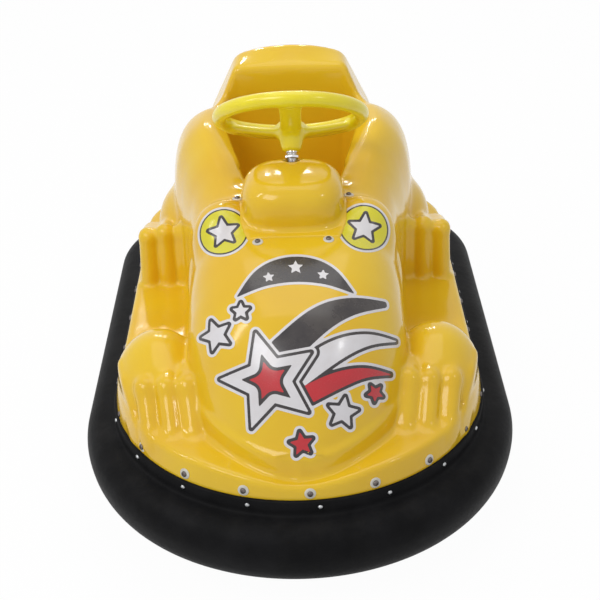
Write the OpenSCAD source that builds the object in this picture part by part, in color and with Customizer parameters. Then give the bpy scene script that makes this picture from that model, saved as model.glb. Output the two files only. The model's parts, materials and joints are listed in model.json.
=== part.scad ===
// Fairground bumper car with a moulded animal-shaped body, front at -Y.
// Origin on the floor below the middle of the bumper ring, +Z up.

/* [Plan] */
// Radius of the front end of the bumper ring, which is half of its width
ring_r = 520; // [500:5:540]
// Distance of the front arc's centre ahead of the origin
nose_centre = 280; // [275:1:285]
// Distance of the rear corners' centres to each side
corner_x = 220; // [215:1:225]
// Distance of the rear corners' centres behind the origin
corner_y = 500; // [490:2:510]

/* [Bumper ring] */
// Radial depth of the rubber
ring_depth = 90; // [84:1:96]
// Height of the rubber's underside above the floor
ring_low = 72; // [68:1:80]
// Height of the bulge's upper edge
ring_high = 216; // [208:1:224]
// Height of the rubber's upright flange
flange_high = 255; // [250:1:262]
// Thickness of the upright flange
flange_t = 16; // [12:1:20]
// Thickness of the steel band behind the rubber
band_t = 5; // [3:0.5:7]

/* [Body shell] */
// Wall of the moulded body
wall = 5; // [4:0.5:7]
// Height of the skirt, up to the deck
skirt_h = 55; // [45:1:65]
// Distance of the skirt's foot inside the bumper ring's outer edge
skirt_in = 82; // [80:1:86]
// Lean of the skirt, inwards at its top
skirt_lean = 10; // [6:1:13]
// Width of the deck's seat under the body walls
deck_seat = 22; // [16:1:28]
// Half the width of the head at its base
head_half = 262; // [256:1:266]
// Height of the head over the deck, at its widest place
head_h = 318; // [306:2:330]
// Length of the head's rounded front, from its tip to its widest place
head_round = 324; // [316:1:330]
// Distance of the head's widest place ahead of the origin
head_wide_y = 360; // [352:1:364]
// Half the greatest width of the rear body
rear_half = 326; // [320:1:332]
// Height of the rear body over the deck
rear_h = 440; // [430:2:450]
// Distance of the rear body's widest place behind the origin
rear_wide_y = 340; // [334:1:346]
// Length of the rear body's rounded tail
rear_round = 371; // [364:1:372]
// Place of the joint between the front and rear body mouldings
body_split = -76; // [-84:1:-70]

/* [Paws] */
// Distance of the front paws' middle from the car's middle plane
front_paw_x = 326; // [320:1:332]
// Distance of the front paws' middle ahead of the origin
front_paw_y = 335; // [330:1:340]
// Radius of a toe of the front paws
toe_r = 25.5; // [22:0.5:27]
// Pitch of the toes of the front paws
toe_pitch = 48; // [45:1:50]
// Distance of the rear paws' middle from the car's middle plane
rear_paw_x = 334; // [330:1:338]
// Distance of the rear paws' middle behind the origin
rear_paw_y = 200; // [196:1:205]
// Radius of a finger of the rear paws
finger_r = 24; // [21:0.5:26]
// Pitch of the fingers of the rear paws
finger_pitch = 46; // [43:1:48]

/* [Cockpit] */
// Height of the seat pan above the floor
seat_z = 400; // [385:1:415]
// Front edge of the seat pan
seat_front = 80; // [60:2:100]
// Height of the backrest's crown above the floor
back_top = 850; // [840:1:856]
// Half the width of the backrest at its top
back_half = 150; // [145:1:155]
// Place of the backrest's face behind the origin
back_face = 404; // [400:1:408]
// Height up to which the tub's own wall reaches
tub_top = 640; // [620:5:650]

/* [Steering] */
// Outer diameter of the steering wheel
wheel_d = 373; // [360:1:390]
// Thickness of the steering wheel's rim
wheel_tube = 36; // [30:1:40]
// Lean of the steering column from the vertical, to the rear
column_lean = 35.5; // [33:0.1:38]
// Height of the steering wheel's centre
wheel_centre_z = 842; // [832:1:850]
// Distance of the steering wheel's centre ahead of the origin
wheel_centre_y = 9; // [0:1:20]
// Length of the steering wheel's hub below the rim's plane
hub_len = 78; // [70:1:84]
// Distance along the column from the wheel's centre to the universal joint at its foot
upper_len = 395; // [385:1:405]
// Diameter of the steering shaft
shaft_d = 24; // [20:1:28]
// Running clearance round shafts and pins
run_gap = 0.05; // [0.03:0.01:0.1]

// Half width of the column's cover
cover_w = 119; // [112:1:122]
// Half length of the column's cover
cover_l = 107; // [100:1:110]
// Height of the column's cover over its widest level
cover_h = 77; // [70:1:80]

/* [Running gear] */
// Diameter of the road wheels over the tyre
tyre_d = 200; // [190:2:210]
// Width of the road wheels' tyres
tyre_w = 52; // [44:1:56]
// Distance of the drive wheel ahead of the head's widest place
drive_ahead = 170; // [164:1:176]
// Distance of the rear wheels behind the origin
rear_y = 430; // [415:1:445]
// Diameter of the axles
axle_d = 20; // [16:1:24]
// Diameter of the drive fork's king-pin
pin_d = 30; // [26:1:34]
// Width and height of the chassis rails
rail_w = 40; // [34:1:44]
// Distance of the rails' centres from the middle plane
rail_x = 200; // [196:1:204]
// Height of the rails' underside above the floor
rail_z = 125; // [121:1:130]
// Thickness of the floor plate
plate_t = 3; // [2:0.5:5]

// Width of the battery
battery_w = 175; // [165:1:185]
// Length of the battery, along the car
battery_l = 300; // [280:1:304]
// Height of the battery
battery_h = 211; // [190:1:215]

/* [Hidden] */
$fn = 64;
yellow = [0.93, 0.68, 0.05];
lemon = [0.95, 0.85, 0.05];
black = [0.05, 0.05, 0.05];
steel = [0.55, 0.56, 0.58];
dark = [0.18, 0.18, 0.2];
cut = 1;                                  // How far a cutting solid passes its face
fork_gap = 12;                            // Room over the drive wheel's tyre
fork_t = 12;                              // Thickness of the drive fork's crown
collar = 16;                              // From the fork's crown to the bridge over it
seat_gap = 0.3;                           // Gap between a curved piece and its seat

ring_in = ring_r - ring_depth;            // Inner radius of the rubber
band_in = ring_in - band_t;
deck_z = flange_high + skirt_h;           // Top of the deck
skirt_r = ring_r - skirt_in;              // Foot of the skirt
deck_edge = skirt_r - skirt_lean - 4;     // Edge of the deck's flat top
body_base = deck_z - 30;                  // Height where the body's sections are widest
drive_y = head_wide_y + drive_ahead;      // Drive wheel, ahead of the origin
bridge_z = tyre_d + fork_gap + fork_t + collar;
rear_x = rail_x + rail_w / 2 + 62;        // Rear wheels, from the middle plane
axle_z = tyre_d / 2;
back_base = 620;                          // Height where the backrest leaves the moulding
plate_z = rail_z + rail_w;                // Underside of the floor plate
plate_top = plate_z + plate_t;
column_dir = [0, sin(column_lean), cos(column_lean)];
wheel_centre = [0, -wheel_centre_y, wheel_centre_z];
ball_r = 18;                              // Balls of the column's two universal joints
ball_z = bridge_z + 84;                   // Joint between the lower shaft and the king-pin
upper_ball = wheel_centre - upper_len * column_dir;
lower_run = upper_ball - [0, -drive_y, ball_z];
lower_len = norm(lower_run);
lower_lean = acos(lower_run[2] / lower_len);
cover_y = -126;                           // Middle of the column's cover
cover_z = deck_z + 380;                   // Its widest level
tube_r = shaft_d / 2 + 8;                 // Outside of the column's tube
hanger_y = upper_ball[1] + 32;            // Front of the column's hanger
hanger_z = deck_z + 324;                  // Its underside, below the hood
hub_r = 58;                               // Flanges of the wheel hubs
seat_r = hub_r - 4;                       // The tyre's seat between them
drive_hole = 176;                         // Radius of the floor's hole over the drive unit
bracket_w = 124;                          // Width of the rear wheels' brackets
stay_w = 44;                              // Width of the column's stand
stay_y = upper_ball[1] + 38;              // Its front edge, clear of the universal joint
tube_low = upper_len - 50;                // The tube's lower end along the column
tube_high = 130;                          // Its upper end, inside the cover
cross_y = [-330, 60, 300, 600];           // Middles of the chassis's cross beams
mount_x = 120;                            // The lashing holes in the last of them

// The head from its tip to its widest place, and from there to the joint
head_nose = [
    // share of the length, share of the height, squareness
    [0.998, 0.038, 2], [0.985, 0.082, 2], [0.955, 0.145, 2], [0.877, 0.289, 2.1],
    [0.765, 0.497, 2.2], [0.611, 0.692, 2.3], [0.37, 0.862, 2.6], [0, 1, 3.2]];
head_neck = [
    // share of the length, share of the height, squareness
    [0.33, 1.06, 3.8], [0.66, 1.088, 4], [1, 1.107, 4.2]];

// The rear body from the joint to its widest place, and from there to its tail
shoulder = [
    // share of the length, share of the half width, share of the height, squareness
    [0.231, 0.834, 0.868, 4.4], [0.519, 0.908, 0.955, 4.8], [0.76, 0.975, 1, 5],
    [1, 1, 0.977, 5]];
tail = [
    // share of the length, share of the height, squareness
    [0.27, 0.868, 4.4], [0.512, 0.709, 3.8], [0.728, 0.5, 3], [0.884, 0.286, 2.6],
    [0.949, 0.159, 2.3], [0.972, 0.1, 2]];

// The cockpit's edge: place and half width
cockpit_rows = [
    // y,  half
    [-34, 62], [-14, 92], [60, 119], [144, 141], [230, 161], [307, 177], [372, 184],
    [404, 172], [418, 140]];

// Half width of a rounded end at a share of its length
function round_end(share, half, power) = half * pow(1 - pow(share, power), 1 / power);
nose_power = 1.85;
tail_power = 2.2;
neck_more = 4;                            // How much wider the head is at the joint
plinth_out = 1.5;                         // How far the plinth stands out from the head

// Rows of the mouldings, as place, half width, top and squareness
function front_rows() = concat(
    [for (r = head_nose) [-head_wide_y - r[0] * head_round, round_end(r[0], head_half, nose_power),
        deck_z + r[1] * head_h, r[2]]],
    [for (r = head_neck) [-head_wide_y + r[0] * (head_wide_y + body_split),
        head_half + r[0] * neck_more, deck_z + r[1] * head_h, r[2]]]);
joint_row = front_rows()[len(head_nose) + len(head_neck) - 1];
function rear_rows() = concat([joint_row],
    [for (r = shoulder) [body_split + r[0] * (rear_wide_y - body_split), r[1] * rear_half,
        deck_z + r[2] * rear_h, r[3]]],
    [for (r = tail) [rear_wide_y + r[0] * rear_round, round_end(r[0], rear_half, tail_power),
        deck_z + r[1] * rear_h, r[2]]]);

// One section: a superellipse round the height base, in x and z
function section(y, half, top, e, base, n) = [for (i = [0 : n - 1])
    let (a = 360 * (i + 0.5) / n, c = cos(a), s = sin(a))
    [half * sign(c) * pow(abs(c), 2 / e), y, base + (top - base) * sign(s) * pow(abs(s), 2 / e)]];

// A solid through sections that stand across the Y axis
module loft(rows, base = body_base, n = 40) {
    last = len(rows) - 1;
    points = [for (r = rows) each section(r[0], r[1], r[2], r[3], base, n)];
    sides = [for (k = [0 : last - 1], i = [0 : n - 1])
        let (a = k * n + i, b = k * n + (i + 1) % n) each [[a, b, b + n], [a, b + n, a + n]]];
    ends = [[for (i = [n - 1 : -1 : 0]) i], [for (i = [0 : n - 1]) last * n + i]];
    polyhedron(points, concat(sides, ends), convexity = 4);
}

module above(z) translate([-1000, -1000, z]) cube([2000, 2000, 1000]);

// Rows of a moulding's inside: t smaller all round, and past an end that is open
function inside(rows, t, front_open, back_open) = [for (k = [0 : len(rows) - 1])
    let (r = rows[k], front = k < len(rows) / 2, open = front ? front_open : back_open,
         last = k == 0 || k == len(rows) - 1, in = front ? 1 : -1)
    [r[0] + in * (open ? (last ? -cut : 0) : t), r[1] - t, r[2] - t, r[3]]];

// The plan of the car at a given distance from its centres
module plan(r) {
    translate([0, -nose_centre]) circle(r);
    translate([-r, -nose_centre]) square([2 * r, nose_centre + corner_y]);
    for (s = [-1, 1]) translate([s * corner_x, corner_y]) circle(r - corner_x);
    translate([-corner_x, 0]) square([2 * corner_x, corner_y + r - corner_x]);
}

// Carries a radial profile all the way round the plan
module round_plan() {
    translate([0, -nose_centre, 0]) rotate([0, 0, 180]) rotate_extrude(angle = 180) children();
    for (s = [0, 1]) mirror([s, 0, 0]) {
        translate([0, -nose_centre, 0]) rotate([90, 0, 180]) mirror([1, 0, 0])
            linear_extrude(nose_centre + corner_y) children();
        translate([corner_x, corner_y, 0]) rotate_extrude(angle = 90)
            translate([-corner_x, 0]) children();
    }
    translate([-corner_x, corner_y - corner_x, 0]) rotate([90, 0, 90])
        linear_extrude(2 * corner_x) children();
}

// The cockpit's outline, larger by t
module cockpit_plan(t) {
    last = len(cockpit_rows) - 1;
    right = [for (k = [0 : last]) let (r = cockpit_rows[k])
        [r[1] + t, r[0] + (k == 0 ? -t : k == last ? t : 0)]];
    left = [for (k = [last : -1 : 0]) [-right[k][0], right[k][1]]];
    polygon(concat(right, left));
}

// Turns a piece that is drawn along +Z into the steering column's frame
module on_column(along = 0) translate(wheel_centre + along * column_dir)
    rotate([-column_lean, 0, 0]) children();

module bumper_ring() color(black) round_plan() {
    polygon([[ring_in, ring_low + 16], [ring_in + 12, ring_low + 4], [ring_in + 40, ring_low],
        [ring_r - 22, ring_low + 14], [ring_r - 7, ring_low + 40], [ring_r, ring_low + 72],
        [ring_r, ring_low + 94], [ring_r - 7, ring_low + 122], [ring_r - 24, ring_high - 6],
        [ring_r - 42, ring_high], [ring_in + flange_t + 12, ring_high],
        [ring_in + flange_t + 3, ring_high + 5], [ring_in + flange_t, ring_high + 12],
        [ring_in + flange_t, flange_high - 4], [ring_in + flange_t - 4, flange_high],
        [ring_in, flange_high]]);
}

module bumper_band() color(steel) round_plan()
    translate([band_in, ring_low + 22]) square([band_t, flange_high - ring_low - 22]);

module deck() color(yellow) {
    round_plan() polygon([[skirt_r - wall, flange_high], [skirt_r, flange_high],
        [deck_edge + 4, deck_z - 4], [deck_edge, deck_z], [deck_edge - 26, deck_z],
        [deck_edge - 26, deck_z - wall], [deck_edge - 6, deck_z - wall],
        [deck_edge - 1, deck_z - wall - 5]]);
    translate([0, 0, deck_z - wall]) linear_extrude(wall) difference() {
        plan(deck_edge - 26);
        deck_opening();
    }
}

// The deck is open under the mouldings, inside a seat for their walls
module deck_opening() {
    front = [for (r = front_rows()) [max(r[1] - deck_seat, 4), r[0] + deck_seat]];
    rear = [for (r = rear_rows()) [max(r[1] - deck_seat, 4), r[0] - deck_seat]];
    right = concat(front, rear);
    polygon(concat(right, [for (k = [len(right) - 1 : -1 : 0]) [-right[k][0], right[k][1]]]));
}

// A stretched ball, cut off at the deck by the module that uses it
module lobe(at, size, n = 24) translate(at) scale(size / 100) sphere(100, $fn = n);

// Ears: place and size of the lobes each side of the steering column's cover
module ear(t = 0) lobe([163, -148, 596], [78 + t, 84 + t, 90 + t]);

// The head's upright plinth round the nose, smaller by t
module plinth(t) hull() for (s = [[0, 44], [8, 52]]) {
    side = [for (k = [0 : len(head_nose) - 1]) let (r = front_rows()[k])
        [max(r[1] + plinth_out - s[0] - t, 1), r[0] - plinth_out + s[0] + t]];
    left = [for (k = [len(side) - 1 : -1 : 0]) [-side[k][0], side[k][1]]];
    translate([0, 0, body_base]) linear_extrude(deck_z - body_base + s[1] - t)
        polygon(concat(side, left));
}

module front_paw(t) intersection() {
    hull() {
        lobe([front_paw_x, -front_paw_y, deck_z - 5], [108 - t, 122 - t, 136 - t]);
        lobe([front_paw_x - 24, -front_paw_y - 95, deck_z - 10], [98 - t, 88 - t, 100 - t]);
    }
    linear_extrude(2 * deck_z) plan(deck_edge - t);
}

// Toes from their roots over the knuckles to their tips, which turn in a little
module front_toes() intersection() {
    for (k = [0 : 3]) let (x = front_paw_x - 75 + k * toe_pitch,
        y = -front_paw_y - 157 + 8 * max(k - 1, 0) + 36 * max(k - 2, 0), drop = 14 * max(k - 1.7, 0))
        hull() {
            translate([x + 4, y + 52, deck_z + 74 - drop]) sphere(toe_r - 3, $fn = 16);
            translate([x, y, deck_z + 54 - 1.5 * drop]) sphere(toe_r, $fn = 16);
            translate([x - 15, y - 38, deck_z - 25]) sphere(toe_r, $fn = 16);
        }
    linear_extrude(2 * deck_z) plan(deck_edge);
}

module front_solid() {
    loft(front_rows());
    plinth(0);
    for (s = [0, 1]) mirror([s, 0, 0]) {
        ear();
        front_paw(0);
        front_toes();
    }
}

module front_hollow(t) {
    loft(inside(front_rows(), t, false, true));
    plinth(t);
    for (s = [0, 1]) mirror([s, 0, 0]) front_paw(t);
}

module front_body() color(yellow) difference() {
    intersection() {
        front_solid();
        above(deck_z);
        translate([-1000, -1000, 0]) cube([2000, 1000 + body_split, 1000]);
    }
    intersection() {
        front_hollow(wall);
        above(deck_z - cut);
    }
    column_passage();
}

// The hole in the hood that the steering column rises through, under its cover
module column_passage() on_column(-320) cylinder(h = 320, r = 24);

module thigh() hull() {
    lobe([280, rear_wide_y - 20, deck_z + 92], [94, 145, 120]);
    translate([280, rear_wide_y - 20, deck_z]) scale([0.94, 1.45, 1]) cylinder(h = 10, r = 100);
}

module rear_paw(t) hull() for (x = [-1, 1], y = [-1, 1]) {
    translate([rear_paw_x + 4 + x * 46, rear_paw_y + y * 30, deck_z])
        cylinder(h = 10, r = 30 - t, $fn = 16);
    translate([rear_paw_x + x * 42, rear_paw_y + y * 30, deck_z + 120 - y * 8])
        sphere(30 - t, $fn = 16);
}

// Fingers that stand before the rear paws and run back over their tops
module rear_fingers() for (k = [-1 : 1]) let (x = rear_paw_x + 8 + k * finger_pitch) hull() {
    translate([x + 6 * max(k, 0), rear_paw_y - 58, deck_z - 20]) sphere(finger_r, $fn = 16);
    translate([x, rear_paw_y - 50, deck_z + 148 - 10 * max(k, 0)]) sphere(finger_r, $fn = 16);
    translate([x, rear_paw_y + 25, deck_z + 130 - 10 * max(k, 0)]) sphere(finger_r - 4, $fn = 16);
}

// Half width of the backrest at a height, which grows downwards
function back_side(z) = back_half + 0.34 * (back_top - 38 - z);

// A slice of the backrest at a place: its top, and how far its crown rises over that
module back_slice(y, top, crown, t) translate([0, y, 0]) rotate([90, 0, 0]) linear_extrude(0.5)
    polygon(concat([[-back_side(back_base) + t, back_base]],
        [for (a = [-1 : 0.25 : 1]) [a * (back_side(top) - t), top - t + crown * (1 - a * a)]],
        [[back_side(back_base) - t, back_base]]));

// Backrest: its face leans back a little, and its top rises to a crown at the back
module backrest(t) hull() {
    back_slice(back_face + t, back_top - 120, 0, t);
    back_slice(back_face + 20 + t, back_top - 36, 0, t);
    back_slice(back_face + 106 - t, back_top - 34, 34, t);
    back_slice(back_face + 128 - t, back_top - 56, 34, t);
    back_slice(back_face + 202 - t, back_base + 1 + t, 0, t);
}

// The shoulder falls inwards to the cockpit's edge through this funnel
module funnel(t) translate([0, 0, 672]) rotate([7, 0, 0]) hull() {
    translate([0, 0, -t]) linear_extrude(1) cockpit_plan(t);
    translate([0, 0, 70]) linear_extrude(1) cockpit_plan(58 + t);
}

module rear_solid() difference() {
    union() {
        difference() {
            loft(rear_rows());
            funnel(0);
        }
        backrest(0);
        for (s = [0, 1]) mirror([s, 0, 0]) {
            thigh();
            rear_paw(0);
            rear_fingers();
        }
    }
    above_back();
}

// Nothing of the moulding stands before the joint with the front moulding
module above_back() translate([-1000, body_split - 1000, 0]) cube([2000, 1000, 1200]);

module rear_hollow() {
    difference() {
        loft(inside(rear_rows(), wall, true, false));
        funnel(wall);
    }
    backrest(wall);
    for (s = [0, 1]) mirror([s, 0, 0]) rear_paw(wall);
}

module rear_body() color(yellow) difference() {
    union() {
        difference() {
            intersection() {
                rear_solid();
                above(deck_z);
            }
            intersection() {
                rear_hollow();
                above(deck_z - cut);
            }
        }
        intersection() {
            rear_solid();
            translate([0, 0, tub_top]) linear_extrude(300) cockpit_plan(wall);
        }
    }
    translate([0, 0, deck_z]) linear_extrude(600) cockpit_plan(0);
}

// The two mouldings' outsides in one, larger by t, for what is seated on them
module hood(t) loft([for (r = concat(front_rows(), [rear_rows()[1]])) [r[0], r[1] + t, r[2] + t, r[3]]]);

// Cover over the steering column, on a flange that is bolted on the hood
module column_cover() color(yellow) difference() {
    union() {
        loft([for (v = [-1 : 0.125 : 1]) let (s = pow(1 - pow(abs(v) * 0.999, 2.7), 1 / 2.9))
            [cover_y + v * cover_l, cover_w * s, cover_z + cover_h * s, 2.9]], base = cover_z);
        intersection() {
            linear_extrude(700) polygon([[-86, cover_y - 152], [86, cover_y - 152],
                [128, cover_y + 46], [-128, cover_y + 46]]);
            hood(4);
        }
    }
    hood(seat_gap);
    for (s = [0, 1]) mirror([s, 0, 0]) ear(seat_gap);
    column_passage();
}

module cockpit_tub() color(yellow) {
    wall_low = plate_top;
    difference() {
        translate([0, 0, wall_low]) linear_extrude(tub_top - wall_low) difference() {
            cockpit_plan(wall);
            cockpit_plan(0);
        }
        translate([-1000, -1000, wall_low - cut]) cube([2000, 1000 - 20, 600]);
    }
    translate([0, 0, seat_z - wall]) linear_extrude(wall) intersection() {
        cockpit_plan(0);
        translate([-300, seat_front]) square([600, 400]);
    }
    translate([0, 0, wall_low]) linear_extrude(seat_z - wall - wall_low) intersection() {
        cockpit_plan(0);
        translate([-300, seat_front]) square([600, wall]);
    }
}

module floor_plate() color(steel) translate([0, 0, plate_z]) linear_extrude(plate_t)
    difference() {
        plan(band_in);
        translate([0, -drive_y]) circle(drive_hole);
        for (s = [-1, 1]) translate([s * (rear_x + 3) - bracket_w / 2 - 4, rear_y - tyre_d / 2 - 15])
            square([bracket_w + 8, tyre_d + 30]);
    }

module chassis() color(dark) difference() {
    chassis_ladder();
    for (s = [-1, 1]) translate([s * mount_x, cross_y[3], rail_z - cut])
        cylinder(h = rail_w + 2 * cut, r = 6.5);
}

module chassis_ladder() intersection() {
    union() {
        for (s = [-1, 1]) translate([s * rail_x - rail_w / 2, -900, rail_z])
            cube([rail_w, 1800, rail_w]);
        for (y = cross_y) translate([-rail_x, y - rail_w / 2, rail_z])
            cube([2 * rail_x, rail_w, rail_w]);
    }
    linear_extrude(300) plan(band_in);
}

module battery_tray() color(dark) translate([-battery_w / 2 - 6, seat_front + 14, plate_top])
    difference() {
        cube([battery_w + 12, battery_l + 12, 30]);
        translate([3, 3, 3]) cube([battery_w + 6, battery_l + 6, 30]);
    }

module battery() color(dark) translate([-battery_w / 2, seat_front + 20, plate_top + 3])
    cube([battery_w, battery_l, battery_h]);

module drive_bridge() color(dark) {
    difference() {
        translate([-188, -drive_y - 70, bridge_z]) cube([376, 200, 8]);
        translate([0, -drive_y, bridge_z - cut]) cylinder(h = 10, r = 34);
    }
    for (s = [0, 1]) mirror([s, 0, 0]) translate([180, -drive_y - 70, plate_top])
        cube([8, 140, bridge_z - plate_top]);
}

module pin_housing() color(steel) translate([0, -drive_y, 0]) difference() {
    union() {
        translate([0, 0, bridge_z - 11]) cylinder(h = 40, r = 34);
        translate([0, 0, bridge_z + 8]) cylinder(h = 6, r = 56);
    }
    translate([0, 0, bridge_z - 12]) cylinder(h = 60, r = pin_d / 2 + run_gap);
}

module king_pin() color(steel) translate([0, -drive_y, 0]) difference() {
    union() {
        translate([0, 0, bridge_z - collar]) cylinder(h = 60, r = pin_d / 2);
        translate([0, 0, bridge_z - collar]) cylinder(h = 4.5, r = pin_d / 2 + 8);
        translate([0, 0, bridge_z + 44]) cylinder(h = ball_z - 6 - bridge_z - 44, r = 26);
    }
    translate([0, 0, ball_z]) sphere(ball_r + 0.5);
}

module drive_fork() color(dark) translate([0, -drive_y, 0]) difference() {
    union() {
        translate([-52, -35, tyre_d + fork_gap]) cube([104, 70, fork_t]);
        for (s = [0, 1]) mirror([s, 0, 0]) {
            translate([42, -26, axle_z]) cube([10, 52, tyre_d + fork_gap - axle_z]);
            translate([42, 0, axle_z]) rotate([0, 90, 0]) cylinder(h = 10, r = 26);
        }
    }
    translate([-60, 0, axle_z]) rotate([0, 90, 0]) cylinder(h = 120, r = axle_d / 2 + run_gap);
}

module drive_gearbox() color(dark) translate([52, -drive_y, 0]) difference() {
    union() {
        translate([0, 0, axle_z]) rotate([0, 90, 0]) cylinder(h = 18, r = 34);
        translate([0, -34, axle_z]) cube([18, 68, 56]);
        translate([0, 0, axle_z + 56]) rotate([0, 90, 0]) cylinder(h = 18, r = 34);
    }
    translate([-cut, 0, axle_z]) rotate([0, 90, 0]) cylinder(h = 30, r = axle_d / 2 + run_gap);
}

module drive_motor() color(steel) translate([70, -drive_y, axle_z + 56]) rotate([0, 90, 0])
    cylinder(h = 84, r = 42);

module drive_axle() color(steel) translate([-56, -drive_y, axle_z]) rotate([0, 90, 0])
    cylinder(h = 126, r = axle_d / 2);

// One wheel at the origin, its axis along X
module hub(bore) rotate([0, 90, 0]) difference() {
    union() {
        for (z = [-tyre_w / 2, tyre_w / 2 - 8]) translate([0, 0, z]) cylinder(h = 8, r = hub_r);
        translate([0, 0, -tyre_w / 2]) cylinder(h = tyre_w, r = seat_r);
    }
    for (z = [-tyre_w / 2 - cut, tyre_w / 2 - 10]) translate([0, 0, z]) difference() {
        cylinder(h = 10 + cut, r = 48);
        translate([0, 0, -cut]) cylinder(h = 20, r = 24);
    }
    translate([0, 0, -tyre_w]) cylinder(h = 2 * tyre_w, r = bore);
}

module tyre() rotate([0, 90, 0]) rotate_extrude() polygon([
    [seat_r + seat_gap, -tyre_w / 2 + 8 + seat_gap],
    [hub_r + seat_gap, -tyre_w / 2 + 8 + seat_gap], [hub_r + seat_gap, -tyre_w / 2],
    [hub_r + 18, -tyre_w / 2 - 2], [tyre_d / 2 - 8, -tyre_w / 2 + 2],
    [tyre_d / 2 - 2, -tyre_w / 2 + 8], [tyre_d / 2, -tyre_w / 4], [tyre_d / 2, tyre_w / 4],
    [tyre_d / 2 - 2, tyre_w / 2 - 8], [tyre_d / 2 - 8, tyre_w / 2 - 2],
    [hub_r + 18, tyre_w / 2 + 2], [hub_r + seat_gap, tyre_w / 2],
    [hub_r + seat_gap, tyre_w / 2 - 8 - seat_gap],
    [seat_r + seat_gap, tyre_w / 2 - 8 - seat_gap]]);

module at_drive() translate([0, -drive_y, axle_z]) children();
module at_rear(s) translate([s * rear_x, rear_y, axle_z]) children();
module drive_hub() color(steel) at_drive() hub(axle_d / 2);
module drive_tyre() color(black) at_drive() tyre();
module rear_hub(s) color(steel) at_rear(s) hub(axle_d / 2 + run_gap);
module rear_tyre(s) color(black) at_rear(s) tyre();

module rear_bracket() color(dark) translate([0, rear_y, 0]) difference() {
    union() {
        translate([rail_x + rail_w / 2, -32, axle_z + 112]) cube([bracket_w, 64, 8]);
        for (x = [rail_x + rail_w / 2, rail_x + rail_w / 2 + bracket_w - 8]) {
            translate([x, -32, axle_z]) cube([8, 64, 112]);
            translate([x, 0, axle_z]) rotate([0, 90, 0]) cylinder(h = 8, r = 32);
        }
    }
    translate([200, 0, axle_z]) rotate([0, 90, 0]) cylinder(h = 160, r = axle_d / 2);
}

module rear_axle() color(steel) translate([rail_x + rail_w / 2 - 6, rear_y, axle_z])
    rotate([0, 90, 0]) cylinder(h = bracket_w + 12, r = axle_d / 2);

module column_tube() color(dark) on_column(-tube_low) difference() {
    cylinder(h = tube_low - tube_high, r = tube_r);
    translate([0, 0, -cut]) cylinder(h = upper_len, r = shaft_d / 2 + run_gap);
}

// A post on the floor plate, behind the universal joint, that carries the tube
module column_stand() color(dark) difference() {
    union() {
        translate([-4, stay_y, plate_top]) cube([8, stay_w, hanger_z - 34 - plate_top]);
        translate([-28, stay_y, plate_top]) cube([56, stay_w, 8]);
    }
    on_column(-upper_len) cylinder(h = upper_len, r = tube_r);
}

// A plate bonded under the hood, with a web that holds the column's tube
module column_hanger() color(dark) difference() {
    intersection() {
        loft(inside(front_rows(), wall, false, true));
        union() {
            translate([-90, hanger_y, hanger_z]) cube([180, 54, 40]);
            translate([-28, hanger_y + 24, hanger_z - 44]) cube([56, 8, 50]);
        }
    }
    on_column(-upper_len) cylinder(h = upper_len, r = tube_r);
}

module steering_shaft() color(steel) {
    on_column(-upper_len) cylinder(h = upper_len - hub_len, r = shaft_d / 2);
    on_column(-upper_len) sphere(ball_r);
    on_column(-hub_len - 16) cylinder(h = 9, r = 18);
}

// From a ball in the king-pin's socket up to its own socket at the column's foot
module lower_shaft() color(steel) translate([0, -drive_y, ball_z])
    rotate([-lower_lean, 0, 0]) difference() {
        union() {
            sphere(ball_r);
            cylinder(h = lower_len - 30, r = shaft_d / 2);
            translate([0, 0, lower_len - 34]) cylinder(h = 32, r = 25);
        }
        translate([0, 0, lower_len]) sphere(ball_r + 0.5);
    }

module shaft_nut() color(steel) on_column(-12) cylinder(h = 12, r = 14, $fn = 6);

module steering_wheel() color(lemon) on_column() difference() {
    union() {
        rotate_extrude() translate([(wheel_d - wheel_tube) / 2, 0]) circle(wheel_tube / 2);
        translate([0, 0, -hub_len]) cylinder(h = hub_len - 12, r1 = 25, r2 = 31);
        for (a = [30, 150, 270]) rotate([0, 0, a]) translate([0, 0, -34]) rotate([0, 79, 0])
            cylinder(h = (wheel_d - wheel_tube) / 2 - 2, r = 14);
    }
    translate([0, 0, -hub_len - cut]) cylinder(h = 2, r = shaft_d / 2 - 1);
}

module pedal_base() color(dark) translate([52, -352, plate_top]) cube([60, 60, 12]);
module pedal() color(steel) translate([82, -304, plate_top + 12]) rotate([-32, 0, 0])
    translate([-30, -88, 0]) cube([60, 88, 5]);

bumper_ring();
bumper_band();
deck();
front_body();
rear_body();
column_cover();
cockpit_tub();
floor_plate();
chassis();
battery_tray();
battery();
drive_bridge();
pin_housing();
column_tube();
column_stand();
column_hanger();
steering_shaft();
steering_wheel();
shaft_nut();
lower_shaft();
drive_fork();
king_pin();
drive_gearbox();
drive_motor();
drive_axle();
drive_hub();
drive_tyre();
mirror([1, 0, 0]) rear_bracket();  // rear_bracket_left
rear_bracket();  // rear_bracket_right
mirror([1, 0, 0]) rear_axle();  // rear_axle_left
rear_axle();  // rear_axle_right
rear_hub(-1);  // rear_hub_left
rear_hub(1);  // rear_hub_right
rear_tyre(-1);  // rear_tyre_left
rear_tyre(1);  // rear_tyre_right
pedal_base();
pedal();
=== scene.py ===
"""Finishes a fairground bumper car: its moulded shell, rubber, stickers, fasteners and paint.

Every length is in metres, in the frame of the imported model: front at -Y, up at +Z.
"""

import json
import math

import bmesh
import bpy
import numpy as np
from mathutils import Matrix, Vector


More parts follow.
